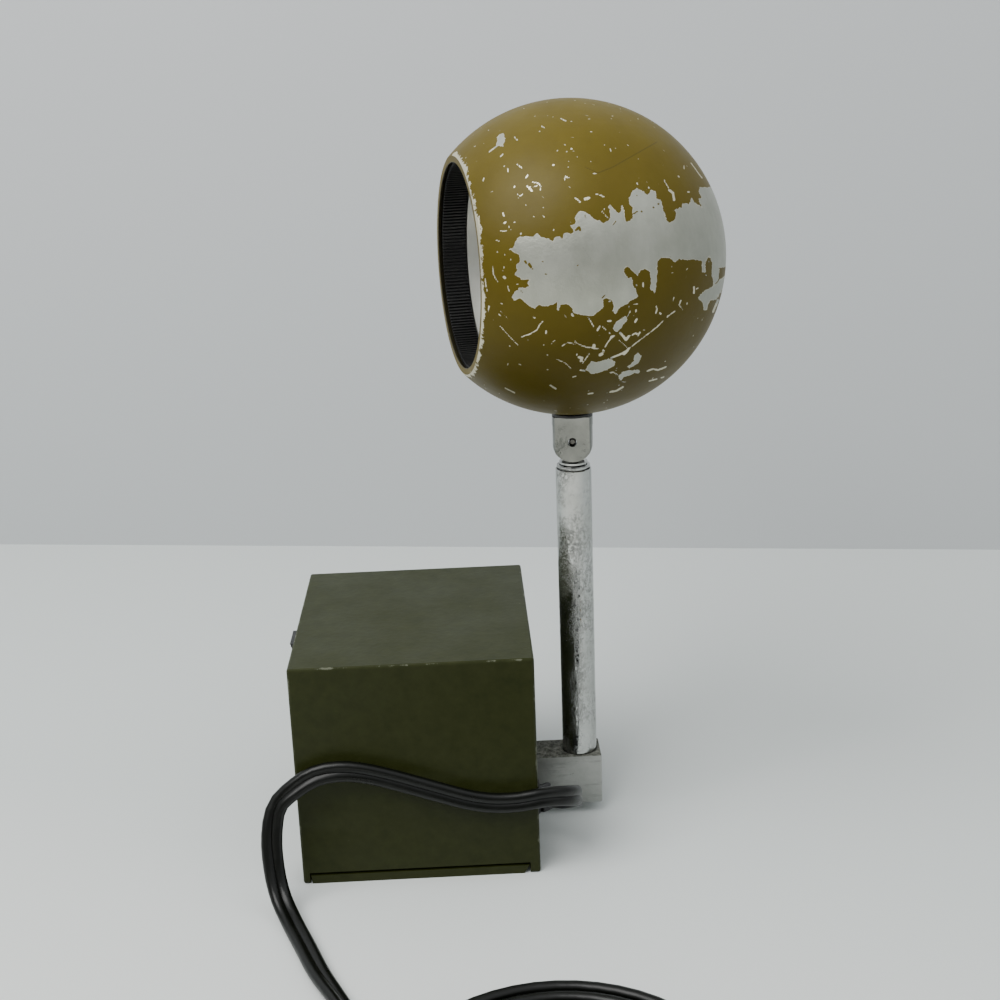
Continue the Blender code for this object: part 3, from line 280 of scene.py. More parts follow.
def green_paint(name="base_paint", edges=True):
    look = Look(name)
    broad = look.noise(0.045, 3, 0.6)
    fine = look.noise(0.004, 5, 0.65, seed=3.0)
    tone = look.mix(broad, (0.0155, 0.0195, 0.0024), (0.023, 0.0275, 0.0042))
    tone = look.mix(look.remap(fine, 0.35, 0.75), tone, (0.031, 0.036, 0.008))
    dust = look.remap(look.cells(0.0032)["Distance"], 0.075, 0.045)
    sparse = look.patches((0.56, 0.68), 0.014, 4, 0.7, seed=8.0)
    dust = look.times(dust, sparse)
    tone = look.stain(tone, dust, 0.55, (0.30, 0.32, 0.25))
    scuff_place = look.stretched((6.0, 60.0, 20.0))
    scuff = look.patches((0.62, 0.78), 1.0, 4, 0.7, place=scuff_place, seed=5.0)
    tone = look.stain(tone, scuff, 0.25, (0.085, 0.095, 0.055))
    if edges:
        # The edges round the bottom stay as painted, so the box reaches far below the table
        low = (-BASE_HALF_X, -BASE_HALF_Y, -1.0)
        edge = box_edge_distance(look, low, (BASE_HALF_X, BASE_HALF_Y, BASE_HIGH))
        ragged = look.noise(0.006, 5, 0.75, seed=12.0)
        reach = look.remap(ragged, 0.52, 0.80, 0.0, 0.0011)
        worn = look.remap(look.minus(edge, reach), 0.0002, 0.0)
        tone = look.stain(tone, worn, 0.8, (0.16, 0.17, 0.12))
    rough = look.patches((0.3, 0.7, 0.40, 0.52), 0.018, 4, 0.6, seed=2.0)
    rough = look.plus(rough, look.times(scuff, 0.12))
    peel = look.noise(0.0016, 2, 0.5, seed=1.0)
    normal = look.bump(peel, 0.00006)
    normal = look.bump(dust, 0.00012, normal)
    return look.done(tone, rough, 0.0, normal, Specular_IOR_Level=0.22)


def ochre_paint():
    """Paint worn through to the metal where the ball's fields, depths in millimetres, are above zero."""
    look = Look("shade_paint")
    broad = look.noise(0.030, 4, 0.6)
    tone = look.mix(look.remap(broad, 0.3, 0.7), (0.105, 0.076, 0.0020), (0.140, 0.104, 0.006))
    grime = look.patches((0.45, 0.8), 0.007, 5, 0.7, seed=4.0)
    tone = look.stain(tone, grime, 0.35, (0.088, 0.062, 0.002))
    ragged = look.minus(look.noise(0.0030, 4, 0.75, seed=7.0), 0.5)
    crisp = look.minus(look.noise(0.0009, 3, 0.7, seed=9.0), 0.5)
    worn = look.attribute("worn")
    depth = look.plus(worn, look.times(ragged, 1.5))
    depth = look.plus(depth, look.times(crisp, 0.9))
    bare = look.remap(depth, -0.02, 0.04)
    chip = look.plus(look.attribute("chipped"), look.times(crisp, 0.42))
    bare = look.larger(bare, look.remap(chip, 0.03, 0.07))
    rim = look.plus(look.attribute("rim"), look.times(ragged, 3.4))
    rim = look.plus(rim, look.times(crisp, 1.2))
    bare = look.larger(bare, look.remap(rim, -0.02, 0.05))
    # Flecks at random places, long and thin, each with its own direction
    for size, seed, chance in ((0.0030, 0.0, 0.42), (0.0021, 3.7, 0.30)):
        place = look.vectors("ADD", look.place, (seed, seed, seed))
        cell = look.cells(size, place)
        away = look.vectors("SUBTRACT", place, cell["Position"])
        way = look.vectors("NORMALIZE", look.vectors("SUBTRACT", cell["Color"], (0.5, 0.5, 0.5)))
        along = look.vectors("DOT_PRODUCT", away, way, "Value")
        reach = look.vectors("LENGTH", away, output="Value")
        across_two = look.minus(look.times(reach, reach), look.times(along, along))
        across = look.sums("SQRT", look.larger(across_two, 0.0))
        stretch = look.times(look.sums("ABSOLUTE", along), 0.30)
        fleck = look.remap(look.plus(across, stretch), 0.00022, 0.00016)
        lucky = look.remap(look.part(0, cell["Color"]), chance, chance - 0.01)
        patchy = look.patches((0.46, 0.54), 0.016, 3, 0.6, seed=41.0 + seed)
        fleck = look.times(look.times(fleck, lucky), patchy)
        bare = look.larger(bare, fleck)
    kept = look.plus(look.attribute("kept"), look.times(crisp, 0.3))
    speck = look.patches((0.735, 0.75), 0.0011, 3, 0.7, seed=51.0)
    speck = look.times(speck, look.patches((0.50, 0.60), 0.009, 3, 0.6, seed=53.0))
    kept = look.larger(look.remap(kept, -0.02, 0.03), speck)
    bare = look.times(bare, look.minus(1.0, kept))
    score = look.times(look.remap(look.attribute("scored"), -0.08, 0.06), 0.55)
    tone = look.mix(score, tone, (0.06, 0.045, 0.005))
    cloud = look.patches((0.3, 0.7), 0.009, 4, 0.6, seed=14.0)
    metal_tone = look.mix(cloud, (0.40, 0.41, 0.345), (0.50, 0.51, 0.445))
    streak_place = look.stretched((1.0, 1.0, 0.25))
    streak = look.patches((0.35, 0.75), 0.0035, 4, 0.7, place=streak_place, seed=16.0)
    metal_tone = look.stain(metal_tone, streak, 0.30, (0.26, 0.265, 0.22))
    metal_tone = look.stain(metal_tone, score, 0.5, (0.2, 0.2, 0.18))
    # Pale cream round each chip: partly the paint's pale edge, partly a painted highlight that keeps the bare
    # metal bright whatever it reflects
    pale_edge_and_glint = look.remap(look.sums("ABSOLUTE", depth), 0.22, 0.05)
    metal_tone = look.stain(metal_tone, pale_edge_and_glint, 0.6, (0.78, 0.74, 0.58))
    # Small chips away from the big patches are painted cream, partly pale primer and partly a painted
    # highlight
    small_chip_pale_and_glint = look.remap(worn, -0.6, -1.2)
    metal_tone = look.stain(metal_tone, small_chip_pale_and_glint, 0.75, (0.80, 0.75, 0.55))
    colour = look.mix(bare, tone, metal_tone)
    shine = look.patches((0.3, 0.7, 0.42, 0.52), 0.011, 4, 0.6, seed=2.0)
    metal_shine = look.patches((0.3, 0.7, 0.38, 0.50), 0.004, 4, 0.7, seed=5.0)
    gap = look.minus(metal_shine, shine)
    rough = look.plus(shine, look.times(gap, bare))
    normal = look.bump(look.noise(0.0018, 2, 0.5, seed=6.0), 0.00004)
    grain = look.times(look.noise(0.0007, 3, 0.6, seed=61.0), bare)
    normal = look.bump(grain, 0.00006, normal)
    normal = look.bump(look.times(bare, -1.0), 0.00008, normal)
    return look.done(colour, rough, look.times(bare, 0.72), normal, Specular_IOR_Level=0.22)


def inner_paint():
    look = Look("shade_inside_paint")
    tone = look.mix(look.noise(0.012, 4, 0.6), (0.035, 0.030, 0.012), (0.060, 0.050, 0.018))
    return look.done(tone, look.patches((0.3, 0.7, 0.45, 0.62), 0.006, 3, 0.6, seed=3.0), 0.0)


def chrome(name="chrome_plate", light=(0.50, 0.51, 0.50), dull=(0.37, 0.38, 0.36)):
    """Old plating, clouded and pitted in patches, with fine streaks along the arm."""
    look = Look(name)
    cloudy = look.noise(0.010, 5, 0.7, seed=2.0)
    tone = look.mix(look.remap(cloudy, 0.35, 0.7), light, dull)
    fine_place = look.stretched((1.0, 1.0, 0.6))
    fine = look.patches((0.46, 0.60), 0.0008, 4, 0.8, place=fine_place, seed=21.0)
    patch = look.patches((0.40, 0.62), 0.013, 4, 0.7, seed=11.0)
    mottle = look.times(fine, patch)
    tone = look.stain(tone, mottle, 0.75, (0.16, 0.165, 0.155))
    pit = look.patches((0.60, 0.68), 0.0010, 4, 0.75, seed=5.0)
    pit = look.times(pit, patch)
    tone = look.stain(tone, pit, 0.9, (0.05, 0.048, 0.04))
    rough = look.remap(cloudy, 0.35, 0.75, 0.04, 0.10)
    rough = look.plus(rough, look.times(mottle, 0.16))
    lines = look.noise(0.0018, 3, 0.6, place=look.stretched((1.0, 1.0, 0.06)), seed=8.0)
    normal = look.bump(lines, 0.000020)
    normal = look.bump(look.times(look.larger(mottle, pit), -1.0), 0.00005, normal)
    return look.done(tone, rough, 1.0, normal)


def cast_zinc():
    """A dull casting, scratched on its faces, with a rough dark top."""
    look = Look("cast_block")
    broad = look.noise(0.006, 5, 0.7)
    tone = look.mix(look.remap(broad, 0.3, 0.7), (0.36, 0.37, 0.345), (0.50, 0.51, 0.48))
    scratch_place = look.stretched((0.25, 1.0, 1.6))
    scratch = look.patches((0.56, 0.64), 0.003, 4, 0.7, place=scratch_place, seed=7.0)
    tone = look.stain(tone, scratch, 0.5, (0.24, 0.245, 0.23))
    spot = look.patches((0.62, 0.72), 0.0012, 4, 0.7, seed=4.0)
    tone = look.stain(tone, spot, 0.6, (0.14, 0.14, 0.125))
    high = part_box("swing_block")[1].z
    top = look.remap(look.part(2), high - 0.00035, high - 0.0002)
    grains = look.patches((0.42, 0.60), 0.0011, 5, 0.8, seed=14.0)
    crust = look.mix(grains, (0.070, 0.072, 0.055), (0.30, 0.305, 0.26))
    tone = look.mix(top, tone, crust)
    rough = look.plus(look.remap(broad, 0.3, 0.7, 0.42, 0.58), look.times(top, 0.25))
    normal = look.bump(look.noise(0.0009, 4, 0.7, seed=9.0), 0.00006)
    normal = look.bump(look.times(grains, top), 0.00015, normal)
    return look.done(tone, rough, look.minus(0.6, look.times(top, 0.5)), normal)


def cord_vinyl():
    look = Look("cord_vinyl")
    tone = look.mix(look.noise(0.02, 4, 0.6), (0.0016, 0.0020, 0.0012), (0.0036, 0.0042, 0.0028))
    dust = look.patches((0.66, 0.80), 0.0016, 5, 0.75, seed=6.0)
    tone = look.stain(tone, dust, 0.25, (0.05, 0.05, 0.045))
    rough = look.patches((0.3, 0.7, 0.25, 0.38), 0.006, 4, 0.6, seed=2.0)
    normal = look.bump(look.noise(0.0035, 3, 0.5, seed=3.0), 0.00010)
    return look.done(tone, rough, 0.0, normal, Specular_IOR_Level=0.3)


def black_plastic(name="black_plastic", rough_low=0.35, rough_high=0.52):
    look = Look(name)
    tone = look.mix(look.noise(0.008, 4, 0.6), (0.010, 0.010, 0.010), (0.018, 0.018, 0.018))
    dust = look.patches((0.64, 0.78), 0.0012, 4, 0.75, seed=6.0)
    tone = look.stain(tone, dust, 0.3, (0.10, 0.10, 0.09))
    rough = look.patches((0.3, 0.7, rough_low, rough_high), 0.003, 4, 0.6, seed=2.0)
    return look.done(tone, rough, 0.0, look.bump(look.noise(0.0009, 3, 0.6, seed=3.0), 0.00004))


def metal(name, dark, light, rough_low, rough_high):
    look = Look(name)
    tone = look.mix(look.patches((0.3, 0.7), 0.005, 5, 0.7, seed=2.0), light, dark)
    rough = look.patches((0.3, 0.7, rough_low, rough_high), 0.003, 4, 0.65, seed=7.0)
    return look.done(tone, rough, 1.0, look.bump(look.noise(0.0012, 3, 0.6, seed=4.0), 0.00003))


def laminations():
    """Stacked iron sheets, seen as fine lines along the stack."""
    look = Look("iron_laminations")
    lines = look.bands("Y", 320.0, 0.4)
    rust = look.patches((0.45, 0.7), 0.006, 5, 0.7)
    tone = look.mix(rust, (0.11, 0.105, 0.10), (0.17, 0.10, 0.055))
    return look.done(tone, 0.6, 0.6, look.bump(lines, 0.00015))


def winding():
    """Taped copper winding."""
    look = Look("taped_winding")
    lines = look.bands("Z", 260.0, 0.8)
    tone = look.mix(look.noise(0.006, 4, 0.6), (0.42, 0.17, 0.075), (0.56, 0.26, 0.12))
    return look.done(tone, 0.42, 0.5, look.bump(lines, 0.0002))


def reflector_finish():
    look = Look("reflector_finish")
    cloudy = look.noise(0.012, 4, 0.6)
    tone = look.mix(cloudy, (0.62, 0.62, 0.56), (0.74, 0.74, 0.69))
    haze = look.patches((0.55, 0.8), 0.004, 4, 0.7, seed=4.0)
    tone = look.stain(tone, haze, 0.35, (0.40, 0.38, 0.30))
    rough = look.patches((0.3, 0.7, 0.30, 0.42), 0.006, 3, 0.6, seed=2.0)
    return look.done(tone, rough, 0.55, look.bump(look.noise(0.002, 2, 0.5, seed=8.0), 0.00003))


def bulb_finish():
    look = Look("bulb_glass")
    tone = look.mix(look.noise(0.01, 3, 0.6), (0.80, 0.82, 0.82), (0.88, 0.89, 0.88))
    rough = look.patches((0.3, 0.7, 0.10, 0.20), 0.004, 3, 0.6, seed=2.0)
    return look.done(
        tone, rough, 0.0, look.bump(look.noise(0.003, 2, 0.5, seed=5.0), 0.00003),
        Transmission_Weight=0.55, IOR=1.45,
    )


# Meshes

SHARP = 34
CORD_SHARP = 60
RIB_SHARP = 25
WELD = 0.002 * MM
FLAT_ENOUGH = math.radians(1.0)


def mesh_of(name, bm):
    mesh = bpy.data.meshes.new(name)
    bm.to_mesh(mesh)
    bm.free()
    return mesh


def finished(name, bm, look, body, replaces, crease=SHARP):
    """An object from a mesh in the model's frame, that rides on a body and stands for its nodes."""
    bmesh.ops.recalc_face_normals(bm, faces=bm.faces)
    mesh = mesh_of(name, bm)
    mesh.shade_smooth()
    mesh.set_sharp_from_angle(angle=math.radians(crease))
    mesh.materials.append(look)
    made = linked(name, mesh)
    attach(made, body)
    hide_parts(*replaces)
    return made


def axis_frame(way, place):
    """A matrix whose Z is a direction and whose origin is a place."""
    way = Vector(way).normalized()
    side = way.cross(Vector((0, 0, 1)) if abs(way.z) < 0.9 else Vector((1, 0, 0))).normalized()
    return Matrix.Translation(place) @ Matrix((side, way.cross(side), way)).transposed().to_4x4()


MOUTH_FRAME = axis_frame(MOUTH_WAY, BALL_MIDDLE)


def turned(profile, sides, to_world, near=None):
    """A closed profile of (radius, height) turned round an axis.

    near gives a share of the sides to the half turn round an angle.
    """
    bm = bmesh.new()
    angles = [2 * math.pi * i / sides for i in range(sides)]
    if near is not None:
        share, middle = near
        half = round(sides * share)
        rest = sides - half
        angles = [middle - math.pi / 2 + math.pi * i / half for i in range(half)]
        angles += [middle + math.pi / 2 + math.pi * i / rest for i in range(rest)]
    rings = []
    for radius, height in profile:
        if radius == 0:
            rings.append([bm.verts.new(to_world @ Vector((0, 0, height)))] * sides)
            continue
        corners = [Vector((radius * math.cos(a), radius * math.sin(a), height)) for a in angles]
        rings.append([bm.verts.new(to_world @ corner) for corner in corners])
    for here, there in zip(rings, rings[1:] + rings[:1]):
        for i in range(sides):
            j = (i + 1) % sides
            corners = list(dict.fromkeys([here[i], here[j], there[j], there[i]]))
            if len(corners) > 2:
                bm.faces.new(corners)
    return bm


def arc(radius, start, end, steps):
    angles = [start + (end - start) * i / steps for i in range(steps + 1)]
    return [(radius * math.cos(a), radius * math.sin(a)) for a in angles]


def refined(node, look, body, edge, segments=2):
    """A copy of a node's shape with clean faces and softened edges, in place of the node."""
    bm = bmesh.new()
    bm.from_mesh(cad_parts[node].data)
    bmesh.ops.remove_doubles(bm, verts=bm.verts, dist=WELD)
    bmesh.ops.dissolve_limit(bm, angle_limit=FLAT_ENOUGH, verts=bm.verts, edges=bm.edges)
    made = finished(node + "_fine", bm, look, body, [node])
    soften = made.modifiers.new("soft edges", "BEVEL")
    soften.width = edge
    soften.segments = segments
    soften.limit_method = "ANGLE"
    soften.angle_limit = math.radians(SHARP)
    soften.harden_normals = True
    return made


# Cord: the route repeats the model's own points, x, y, z in millimetres and the twist in degrees
CORD_ROUTE = [
    (41.6, -28.0, 17.6, 0), (38.6, -35.2, 21.6, 0), (32.8, -38.2, 23.2, 0),
    (26.3, -38.6, 22.4, 0), (19.7, -38.6, 22.4, 0), (13.3, -38.6, 23.6, 0),
    (6.8, -38.6, 25.8, 0), (0.5, -38.6, 28.1, 0), (-5.9, -38.6, 30.4, 0),
    (-12.3, -38.6, 32.4, 0), (-18.7, -38.8, 33.5, 8), (-25.2, -39.2, 32.8, 22),
    (-30.8, -39.9, 29.8, 40), (-35.4, -41.0, 25.6, 60), (-37.0, -43.6, 18.6, 78),
    (-36.6, -46.6, 10.8, 88), (-35.0, -50.2, 5.2, 90), (-31.9, -56.6, 2.2, 90),
    (-27.6, -67.4, 1.8, 90), (-23.5, -78.2, 1.9, 80), (-18.7, -88.6, 2.2, 64),
    (-13.8, -99.0, 2.4, 56), (-10.0, -109.2, 2.8, 45), (-7.6, -119.0, 3.5, 25),
]
TAIL_ROUTE = [
    (51.5, -174.7, 7.8, 0), (61.5, -174.9, 5.6, 30), (70.5, -171.5, 5.8, 70),
]
BUSHING_ROOT = Vector((32.2, -15.0, 11.0)) * MM
BUSHING_TURN = math.radians(-52.0)
BUSHING_RISE = 0.3
BUSHING_NOSE = 3.6 * MM
COIL_X = 30.5 * MM
COIL_Y = -137.1 * MM
COIL_LIFT = 1.4 * MM
COIL_OUTER = 37.0 * MM
COIL_PITCH = 3.8 * MM
COIL_DIP = 1.5 * MM
COIL_LAYER = 5.95 * MM
COIL_TURNS_EACH = 3.875
COIL_LOOP_POINTS = 48
PLUG_PLACE = Vector((78.0, -163.0, 6.3)) * MM
PLUG_HEADING = math.radians(62.0)
CORD_STEP = 2.8 * MM
FINE_STEPS = 24
GROOVE_SHARE = 0.62
SHOULDER_SHARES = (0.22, 0.80)
CORE_TURN = math.pi * 0.62
CORE_POINTS = 9


def smooth_route(points, step):
    """A curve through the route's points, as evenly spaced points with their twist."""
    points = [np.array(p, float) for p in points]
    padded = [2 * points[0] - points[1]] + points + [2 * points[-1] - points[-2]]
    fine = []
    for a, b, c, d in zip(padded, padded[1:], padded[2:], padded[3:]):
        for i in range(FINE_STEPS):
            t = i / FINE_STEPS
            bend = (2 * a - 5 * b + 4 * c - d) + t * (3 * b - a - 3 * c + d)
            fine.append(b + t * ((c - a) + t * bend) / 2)
    fine.append(points[-1])
    fine = np.array(fine)
    walked = np.concatenate([[0], np.cumsum(np.linalg.norm(np.diff(fine[:, :3], axis=0), axis=1))])
    wanted = np.linspace(0, walked[-1], max(2, round(walked[-1] / step)) + 1)
    return np.stack([np.interp(wanted, walked, fine[:, i]) for i in range(4)], axis=1)


def coil_points():
    low = COIL_LIFT + CORD_WIDE / 2
    inner = COIL_OUTER - COIL_PITCH * COIL_TURNS_EACH
    climb_end = COIL_TURNS_EACH + 0.5
    turns = COIL_TURNS_EACH + climb_end
    count = round(turns * COIL_LOOP_POINTS)
    points = []
    for i in range(count + 1):
        done = turns * i / count
        steady = inner + COIL_PITCH * max(COIL_TURNS_EACH - done, done - climb_end, 0)
        dip = min(2 * (done - COIL_TURNS_EACH) + 1, 2 * (climb_end - done) + 1, 1)
        climbed = min(max(2 * (done - COIL_TURNS_EACH), 0), 1)
        radius = steady - COIL_DIP * max(dip, 0)
        angle = math.pi + 2 * math.pi * done
        x = COIL_X + radius * math.cos(angle)
        y = COIL_Y + radius * math.sin(angle)
        points.append((x, y, low + COIL_LAYER * climbed, 0.0))
    return np.array(points)


def onward(last, before, gap):
    """The point a gap straight on beyond the last of a run, with its twist."""
    step = last[:3] - before[:3]
    return np.append(last[:3] + step / np.linalg.norm(step) * gap, last[3])


def cord_route():
    way = Vector((math.cos(BUSHING_TURN), math.sin(BUSHING_TURN), BUSHING_RISE)).normalized()
    start = BUSHING_ROOT + way * (BUSHING_NOSE + SEAT_GAP)
    after = start + way * CORD_WIDE
    coil = coil_points()
    scale = np.array([MM, MM, MM, math.radians(1)])
    entry = onward(coil[0], coil[1], CORD_WIDE + SEAT_GAP)
    before = onward(coil[0], coil[1], 2 * CORD_WIDE + SEAT_GAP)
    lead = [(*start, 0.0), (*after, 0.0)] + [tuple(np.array(p) * scale) for p in CORD_ROUTE] + [before, entry]
    leave = onward(coil[-1], coil[-2], CORD_WIDE + SEAT_GAP)
    tail_start = onward(coil[-1], coil[-2], 2 * CORD_WIDE + SEAT_GAP)
    heading = Vector((math.cos(PLUG_HEADING), math.sin(PLUG_HEADING), 0))
    last = PLUG_PLACE - heading * SEAT_GAP
    ending = [(*(last - heading * CORD_WIDE), math.pi / 2), (*last, math.pi / 2)]
    tail = [leave, tail_start] + [tuple(np.array(p) * scale) for p in TAIL_ROUTE] + ending
    return start, np.concatenate([smooth_route(lead, CORD_STEP), coil, smooth_route(tail, CORD_STEP)])


def cord_outline():
    """The flat cord's outline, from its upper groove round one core, and back round the other."""
    core = CORD_THICK / 2
    apart = CORD_WIDE / 2 - core
    groove = GROOVE_SHARE * core
    angles = np.linspace(CORE_TURN, 0, CORE_POINTS)
    round_core = [(apart + core * math.cos(a), core * math.sin(a)) for a in angles]
    shoulder = (SHOULDER_SHARES[0] * apart, SHOULDER_SHARES[1] * core)
    upper = [(0.0, groove), shoulder] + round_core
    lower = [(x, -y) for x, y in reversed(upper[:-1])]
    right = upper + lower
    left = [(-x, y) for x, y in reversed(right[1:-1])]
    return right + left


def flat_cord(name, points, look, replaced):
    bm = bmesh.new()
    outline = cord_outline()
    places = [Vector(p[:3]) for p in points]
    rings = []
    for i, (place, point) in enumerate(zip(places, points)):
        along = (places[min(i + 1, len(places) - 1)] - places[max(i - 1, 0)]).normalized()
        rise = (Vector((0, 0, 1)) - along * along.z).normalized()
        side = along.cross(rise)
        wide = rise * math.cos(point[3]) + side * math.sin(point[3])
        thick = along.cross(wide)
        rings.append([bm.verts.new(place + wide * u + thick * v) for u, v in outline])
    count = len(outline)
    for here, there in zip(rings, rings[1:]):
        for i in range(count):
            j = (i + 1) % count
            bm.faces.new((here[i], here[j], there[j], there[i]))
    bm.faces.new(rings[0])
    bm.faces.new(rings[-1])
    return finished(name, bm, look, "base", replaced, CORD_SHARP)


def add_cord(looks):
    start, points = cord_route()
    cord = flat_cord("flat_cord", points, looks["vinyl"], ["cord_lead", "cord_coil", "cord_tail"])
    pieces = [
        refined("plug_body", looks["plug"], "base", edge=0.5 * MM),
        refined("coil_tie", looks["plastic"], "base", edge=0.2 * MM),
        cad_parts["plug_blade_1"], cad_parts["plug_blade_2"],
    ]


# Ball shade. Pixels of the photograph, x and y in turn, outline the bare patches, drawn one by one
BARE_PATCHES = [
    (508, 249, 513, 248, 515, 243, 519, 237, 524, 237, 527, 236, 533, 237, 537, 233, 541, 237, 548, 239,
     553, 241, 555, 237, 560, 236, 562, 239, 565, 233, 572, 234, 574, 231, 570, 226, 576, 223, 575, 217,
     578, 212, 583, 211, 588, 213, 592, 217, 597, 221, 600, 220, 603, 223, 608, 221, 611, 218, 610, 211,
     608, 207, 610, 205, 613, 209, 616, 211, 618, 213, 621, 210, 620, 205, 623, 205, 624, 209, 624, 215,
     626, 222, 630, 221, 634, 217, 632, 212, 634, 207, 630, 204, 629, 198, 632, 192, 637, 188, 640, 190,
     644, 191, 647, 195, 651, 191, 656, 192, 656, 198, 661, 200, 663, 211, 666, 220, 669, 223, 674, 221,
     676, 214, 675, 210, 679, 207, 682, 208, 683, 203, 688, 204, 690, 206, 691, 197, 694, 201, 698, 205,
     702, 207, 698, 199, 702, 197, 699, 192, 700, 188, 706, 187, 740, 187, 740, 266, 724, 267, 719, 268,
     719, 278, 715, 286, 713, 286, 712, 263, 709, 256, 706, 262, 705, 272, 702, 272, 702, 261, 692, 260,
     683, 260, 678, 259, 675, 262, 671, 258, 661, 258, 657, 262, 656, 290, 655, 295, 651, 289, 650, 272,
     645, 269, 639, 271, 637, 276, 634, 272, 630, 268, 627, 266, 624, 271, 628, 278, 632, 278, 633, 286,
     636, 291, 638, 297, 629, 301, 628, 304, 619, 308, 616, 314, 612, 311, 614, 306, 613, 300, 606, 298,
     603, 300, 604, 308, 599, 311, 593, 316, 587, 316, 580, 314, 574, 312, 572, 308, 567, 304, 561, 304,
     558, 310, 557, 302, 553, 304, 547, 306, 539, 305, 535, 309, 529, 306, 525, 302, 520, 298, 514, 301,
     512, 297, 514, 291, 518, 289, 522, 286, 525, 288, 530, 286, 527, 282, 532, 279, 522, 280, 515, 274,
     517, 270, 515, 266, 520, 262, 519, 255),
    (588, 366, 591, 362, 596, 362, 609, 358, 612, 361, 615, 362, 614, 366, 608, 370, 592, 374, 585, 370),
    (638, 353, 641, 356, 638, 363, 629, 369, 627, 367, 634, 361, 634, 356),
    (619, 376, 622, 372, 627, 370, 639, 370, 639, 372, 628, 376, 623, 378, 620, 382),
    (626, 315, 628, 319, 618, 332, 614, 331, 613, 327, 617, 322),
    (698, 298, 704, 291, 713, 286, 724, 276, 735, 276, 722, 290, 716, 300, 712, 300, 709, 303, 707, 310,
     704, 310, 702, 302),
    (499, 134, 504, 133, 505, 138, 503, 147, 497, 146, 497, 139),
]
